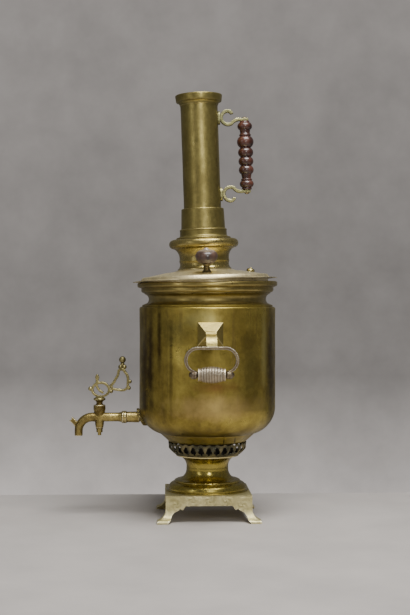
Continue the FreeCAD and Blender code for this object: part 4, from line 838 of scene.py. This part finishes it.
lid = turned("lid", lid_line, lid_seat, steps=288, wall=sheet, fineness=1.2, shift=lid_waves)
lid_brass = brass(
    "lid brass", 0.45, Metal=tint(0.94, 0.82, 0.5), Tarnish=tint(0.66, 0.55, 0.29),
    Stain=tint(0.08, 0.05, 0.025), Rubbed=tint(0.9, 0.82, 0.58), Crust=tint(0.30, 0.33, 0.22),
    Tarnish_Amount=0.4, Streaks=0.1, Specks=0.6, Wear=0.6, Dirt=0.9, Crust_Amount=0.12, Roughness=0.33,
)
mounted(lid, "lid", "lid_brass", lid_brass, "lid_plate")
finished("lid_skirt", lid_brass)
collar_height = 50.0
collar_line = [
    (43.5, 0.0), (43.5, 1.8), (41.9, 2.8), -0.95, (40.6, 14.0), -0.9, (47.0, 34.0), (50.3, 35.2), 0.51,
    (50.3, 49.2), (43.9, 49.9), (35.8, collar_height), (35.6, 58.0),
]
collar_seat = lid_seat @ Matrix.Translation((0, 0, lid_top))
collar = turned("collar", collar_line, collar_seat, steps=192, wall=1.3, fineness=1.0)
collar_brass = brass(
    "collar brass", 0.4, Metal=tint(0.52, 0.43, 0.16), Tarnish=tint(0.28, 0.22, 0.07),
    Stain=tint(0.05, 0.032, 0.014), Rubbed=tint(0.74, 0.64, 0.34), Crust=tint(0.17, 0.19, 0.09),
    Tarnish_Amount=0.4, Streaks=0.3, Specks=0.5, Wear=0.6, Dirt=0.9, Crust_Amount=0.1, Roughness=0.2,
)
mounted(collar, "lid", "lid_brass", collar_brass, "lid_collar")
for small in ("vent_seat", "vent_pin", "vent_cap"):
    finished(small, collar_brass)

# Lid knobs
# Turned hardwood, almost black, with the tops rubbed to pale bare wood. Each is fixed on a brass
# stem that stands square on the lid's cone.


def turned_wood(name, dark, light, ring_scale, gloss, crown=None):
    """Turned wood with rings and pores across its axis. A crown is the height where bare wood begins
    to show, the height where it is full, and its colour."""
    material = bpy.data.materials.new(name)
    material.use_nodes = True
    tree = material.node_tree
    shader = tree.nodes["Principled BSDF"]
    place = add(tree, "TexCoord").outputs["Object"]
    figure = clouds(tree, place, ring_scale, 4.0, stretch=(1.0, 1.0, 0.18))
    pores = clouds(tree, place, ring_scale * 7.0, 3.0, stretch=(1.0, 1.0, 0.06))
    colour = mixed(tree, ramped(tree, figure, 0.38, 0.64), dark, light)
    colour = mixed(tree, ramped(tree, pores, 0.6, 0.74, 0.0, 0.7), colour, tint(0.01, 0.006, 0.004))
    crest = add(tree, "Attribute", attribute_name="crest", attribute_type="GEOMETRY").outputs["Fac"]
    shown = worked(tree, "ADD", crest, worked(tree, "MULTIPLY", pores, 0.4))
    rubbed = ramped(tree, shown, 0.42, 0.8, 0.0, 0.4)
    colour = mixed(tree, rubbed, colour, light)
    if crown is not None:
        low, high, bare = crown
        height = add(tree, "SeparateXYZ", {0: place}).outputs["Z"]
        ragged = worked(tree, "ADD", height, worked(tree, "MULTIPLY", figure, 0.006))
        colour = mixed(tree, ramped(tree, ragged, low, high, 0.0, 0.75), colour, bare)
    bump = add(tree, "Bump", {"Strength": 0.5, "Distance": 0.3 * mm, "Height": pores})
    tree.links.new(colour, shader.inputs["Base Color"])
    tree.links.new(ramped(tree, figure, 0.3, 0.7, 0.26, 0.44), shader.inputs["Roughness"])
    tree.links.new(bump.outputs[0], shader.inputs["Normal"])
    shader.inputs["Coat Weight"].default_value = gloss
    shader.inputs["Coat Roughness"].default_value = 0.12
    return material


knob_wood = turned_wood("knob wood", tint(0.030, 0.018, 0.013), tint(0.105, 0.058, 0.040),
                        ring_scale=90.0, gloss=0.35, crown=(0.4244, 0.4299, tint(0.42, 0.34, 0.27)))
stem_brass = brass(
    "stem brass", 0.3, Metal=tint(0.16, 0.12, 0.05), Tarnish=tint(0.06, 0.045, 0.02),
    Stain=tint(0.02, 0.014, 0.008), Rubbed=tint(0.5, 0.42, 0.22),
    Tarnish_Amount=0.6, Wear=0.5, Dirt=1.0, Roughness=0.4,
)
stem_line = [
    (0.0, 0.0), (8.0, 0.0), (8.0, 1.2), -0.8, (5.0, 7.0), (4.8, 8.4), 0.6, (5.0, 9.5), (6.2, 11.8), 0.7,
    (6.2, 14.0), (2.5, 14.0), (2.5, 25.6), (0.0, 25.6),
]
knob_line = [
    (2.6, 14.0), (6.4, 14.0), 0.72, (17.3, 26.3), 0.75, (8.9, 34.7), -1.2, (3.6, 37.4), 0.8,
    (1.1, 38.6), (0.0, 38.6), (0.0, 26.4), (2.6, 26.4),
]
knob_reach = 79.0
cone_rise = 6.4
cone_run = 34.0
cone_slope = math.atan2(cone_rise, cone_run)
cone_height = step_height + cone_rise * (step_radius - knob_reach) / cone_run
for side, sign in (("near", -1), ("far", 1)):
    knob_foot = lid_seat @ Matrix.Translation((0, sign * knob_reach, cone_height))
    knob_seat = knob_foot @ Matrix.Rotation(-sign * cone_slope, 4, "X")
    stem = turned(side + "_stem", stem_line, knob_seat, steps=64, fineness=0.6)
    mounted(stem, "lid", "lid_brass", stem_brass, side + "_knob_stem")
    knob = turned(side + "_knob", knob_line, knob_seat, steps=96, fineness=0.8)
    mounted(knob, "lid", "knob_wood", knob_wood, side + "_lid_knob")

# Chimney
# A spun socket that stands on the collar, a plain seamed pipe soldered in it, and a moulded ring
# on top. It is duller and greener than the vessel, with brushed upright marks.

lift_gap = 0.3
socket_foot = lid_top + collar_height + lift_gap
socket_height = 48.4
pipe_in_socket = 30.0
pipe_length = 213.4
ring_height = 17.0
chimney_sheet = 1.1
chimney_brass = brass(
    "chimney brass", 0.4, Metal=tint(0.36, 0.3, 0.1), Tarnish=tint(0.21, 0.17, 0.055),
    Stain=tint(0.075, 0.052, 0.02), Rubbed=tint(0.62, 0.53, 0.26), Crust=tint(0.19, 0.2, 0.1),
    Tarnish_Amount=0.5, Streaks=0.35, Specks=0.4, Wear=0.6, Dirt=0.7, Crust_Amount=0.12, Roughness=0.3,
)
socket_line = [
    (43.9, 0.0), 0.6, (43.3, 2.0), -0.75, (37.9, 5.4), (37.7, 12.4), 0.55, (36.9, 15.2), (35.5, 15.8),
    (34.3, 46.8), 0.72, (32.9, socket_height), (30.3, socket_height),
]
chimney_socket = turned("chimney_foot", socket_line, lid_seat @ Matrix.Translation((0, 0, socket_foot)),
                        steps=160, wall=chimney_sheet, fineness=0.9)
mounted(chimney_socket, "chimney", "chimney_brass", chimney_brass, "chimney_socket")


def pipe_waves(spot):
    """A thin pipe, knocked and no longer quite round."""
    wave = 0.45 * (0.5 + 0.5 * noise.noise(Vector((spot.x, spot.y, spot.z * 0.6)) / 28.0))
    middle = faded(spot.z - 32.0, 12.0) * faded(194.0 - spot.z, 10.0)
    return pressed_in(spot, wave) * middle


pipe_foot = socket_foot + socket_height - pipe_in_socket
pipe_line = [(30.1, 0.0), (30.2, 0.3)]
pipe_line += [(30.2, float(height)) for height in range(30, 181, 30)]
pipe_line += [(30.2, 213.2), (30.0, pipe_length)]
pipe = turned("chimney_pipe_wall", pipe_line, lid_seat @ Matrix.Translation((0, 0, pipe_foot)),
              steps=160, wall=chimney_sheet, fineness=1.4, shift=pipe_waves)
mounted(pipe, "chimney", "chimney_brass", chimney_brass, "chimney_pipe")
ring_line = [
    (30.3, 0.0), (31.1, 0.6), -0.78, (36.4, 6.2), (36.8, 6.8), (38.0, 15.8), 0.72,
    (36.8, ring_height), (30.3, ring_height),
]
ring_seat = lid_seat @ Matrix.Translation((0, 0, pipe_foot + pipe_length - ring_height))
top_ring = turned("chimney_ring", ring_line, ring_seat, steps=160, fineness=0.8)
mounted(top_ring, "chimney", "chimney_brass", chimney_brass, "chimney_top_ring")

# Chimney handle
# Two cast scroll arms, pale with verdigris, riveted to the pipe through oval lugs. A turned and
# polished wooden grip rolls on a rod between their eyes.

arm_brass = brass(
    "arm brass", 0.5, Metal=tint(0.3, 0.275, 0.12), Tarnish=tint(0.19, 0.19, 0.09),
    Stain=tint(0.05, 0.045, 0.025), Rubbed=tint(0.46, 0.43, 0.24), Crust=tint(0.24, 0.3, 0.2),
    Tarnish_Amount=0.4, Streaks=0.2, Specks=0.5, Wear=0.45, Dirt=0.9, Crust_Amount=0.36, Roughness=0.4,
    Scale=2.4,
)
for level in ("upper", "lower"):
    arm = recast(level + "_arm", level + "_scroll_arm", 0.45, 3)
    thickened(arm, 0.45, lambda point: 52.0 - point.x, 5.0)
    roughened(arm, 0.1, 2.5)
    mounted(weathered(arm, reach=2.0), "chimney", "arm_brass", arm_brass, level + "_scroll_arm")
    plate = recast(level + "_plate", level + "_lug", 0.4, 2)
    mounted(weathered(plate, reach=2.0), "chimney", "arm_brass", arm_brass, level + "_lug")
finished("chimney_grip_rod", strap_metal)
handle_middle = lid_top + collar_height + 133.0
handle_reach = 73.0
grip_length = 111.0
grip_wood = turned_wood("grip wood", tint(0.020, 0.006, 0.004), tint(0.085, 0.025, 0.013),
                        ring_scale=60.0, gloss=0.5)
unit = grip_length / 70.0
chimney_grip_line = [
    (2.6, 0.0), (7.2, 0.0), 0.7, (7.4, 3.5), (8.4, 4.1), 0.58, (8.4, 14.4), (8.7, 15.2), 0.7,
    (8.7, 17.1), (7.2, 18.4), (8.4, 25.1),
]
for low, high in ((16.0, 24.2), (24.8, 33.0), (33.6, 42.4), (43.0, 54.4)):
    chimney_grip_line += [(8.6, unit * low), 0.6, (8.6, unit * high)]
chimney_grip_line += [
    (9.1, unit * 55.0), 0.7, (9.1, unit * 56.4), -0.8, (8.4, unit * 59.6), (8.4, unit * 61.0), 0.56,
    (8.2, unit * 68.4), (7.4, unit * 70.0), (2.6, unit * 70.0),
]
grip_seat = lid_seat @ Matrix.Translation((handle_reach, 0, handle_middle - grip_length / 2))
chimney_grip = turned("handle_grip", chimney_grip_line, grip_seat, steps=96, fineness=0.7)
mounted(chimney_grip, "handle_grip", "grip_wood", grip_wood, "chimney_grip")

# Studio
# A pale warm table top and a plain mottled grey wall, with painted light that lightens it towards
# the table and a little painted shade towards the right. A wide lamp hangs overhead, with a narrow
# strip behind the camera on the right and a dim one at the left.

floor_mesh = bpy.data.meshes.new("floor")
floor_half = 2.6
floor_back = 0.23
corners = [(-floor_half, -floor_half, 0.0), (floor_half, -floor_half, 0.0),
           (floor_half, floor_back, 0.0), (-floor_half, floor_back, 0.0)]
floor_mesh.from_pydata(corners, [], [(0, 1, 2, 3)])
floor = placed("floor", floor_mesh)
pale_table = plain_finish("pale table", tint(0.47, 0.435, 0.405), tint(0.53, 0.49, 0.455),
                          scale=6.0, roughness=0.75, metallic=0.0, relief=0.05)
floor_mesh.materials.append(pale_table)


def softbox(name, place, target, width, height, power):
    lamp = bpy.data.lights.new(name, "AREA")
    lamp.shape = "RECTANGLE"
    lamp.size = width
    lamp.size_y = height
    lamp.energy = power
    light = placed(name, lamp)
    light.location = place
    light.rotation_euler = (Vector(target) - Vector(place)).to_track_quat("-Z", "Y").to_euler()


softbox("overhead", (0.2, -0.6, 1.8), (0.0, 0.0, 0.3), 1.0, 0.8, 42.0)
softbox("front strip", (0.35, -2.3, 1.05), (0.0, 0.0, 0.3), 0.32, 1.1, 13.5)
softbox("left window", (-1.7, -1.5, 0.9), (0.0, 0.0, 0.35), 0.25, 1.3, 4.0)

world = bpy.data.worlds.new("studio")
bpy.context.scene.world = world
world.use_nodes = True
surround = world.node_tree
aim = add(surround, "TexCoord").outputs["Generated"]
split = add(surround, "SeparateXYZ", {0: aim}).outputs
# Painted light: the wall brightens towards the table and darkens a little to the right.
wall = worked(surround, "ADD", ramped(surround, split["Z"], -0.15, -0.055, 0.56, 0.245),
              ramped(surround, split["Z"], 0.03, 0.22, 0.0, 0.06))
wall = worked(surround, "MULTIPLY", wall, ramped(surround, split["X"], -0.15, 0.15, 1.05, 0.94))
mottle = ramped(surround, clouds(surround, aim, 26.0, 4.0), 0.3, 0.7, 0.9, 1.1)
wall = worked(surround, "MULTIPLY", wall, mottle)
warm = mixed(surround, 1.0, grey(surround, wall), tint(1.0, 0.93, 0.885), "MULTIPLY")
backdrop = add(surround, "Background", {"Color": warm, "Strength": 1.0})
lighting = add(surround, "Background", {"Color": tint(0.43, 0.42, 0.41), "Strength": 0.36})
ray = add(surround, "LightPath").outputs["Is Camera Ray"]
choice = add(surround, "MixShader", {0: ray, 1: lighting.outputs[0], 2: backdrop.outputs[0]})
surround.links.new(choice.outputs[0], surround.nodes["World Output"].inputs[0])

lens = bpy.data.cameras.new("camera")
lens.lens = 71.4
lens.sensor_width = 36.0
camera = placed("camera", lens)
camera.location = (-0.086, -1.972, 0.3365)
camera.rotation_euler = (math.radians(90.0), 0.0, math.radians(-2.387))
bpy.context.scene.camera = camera
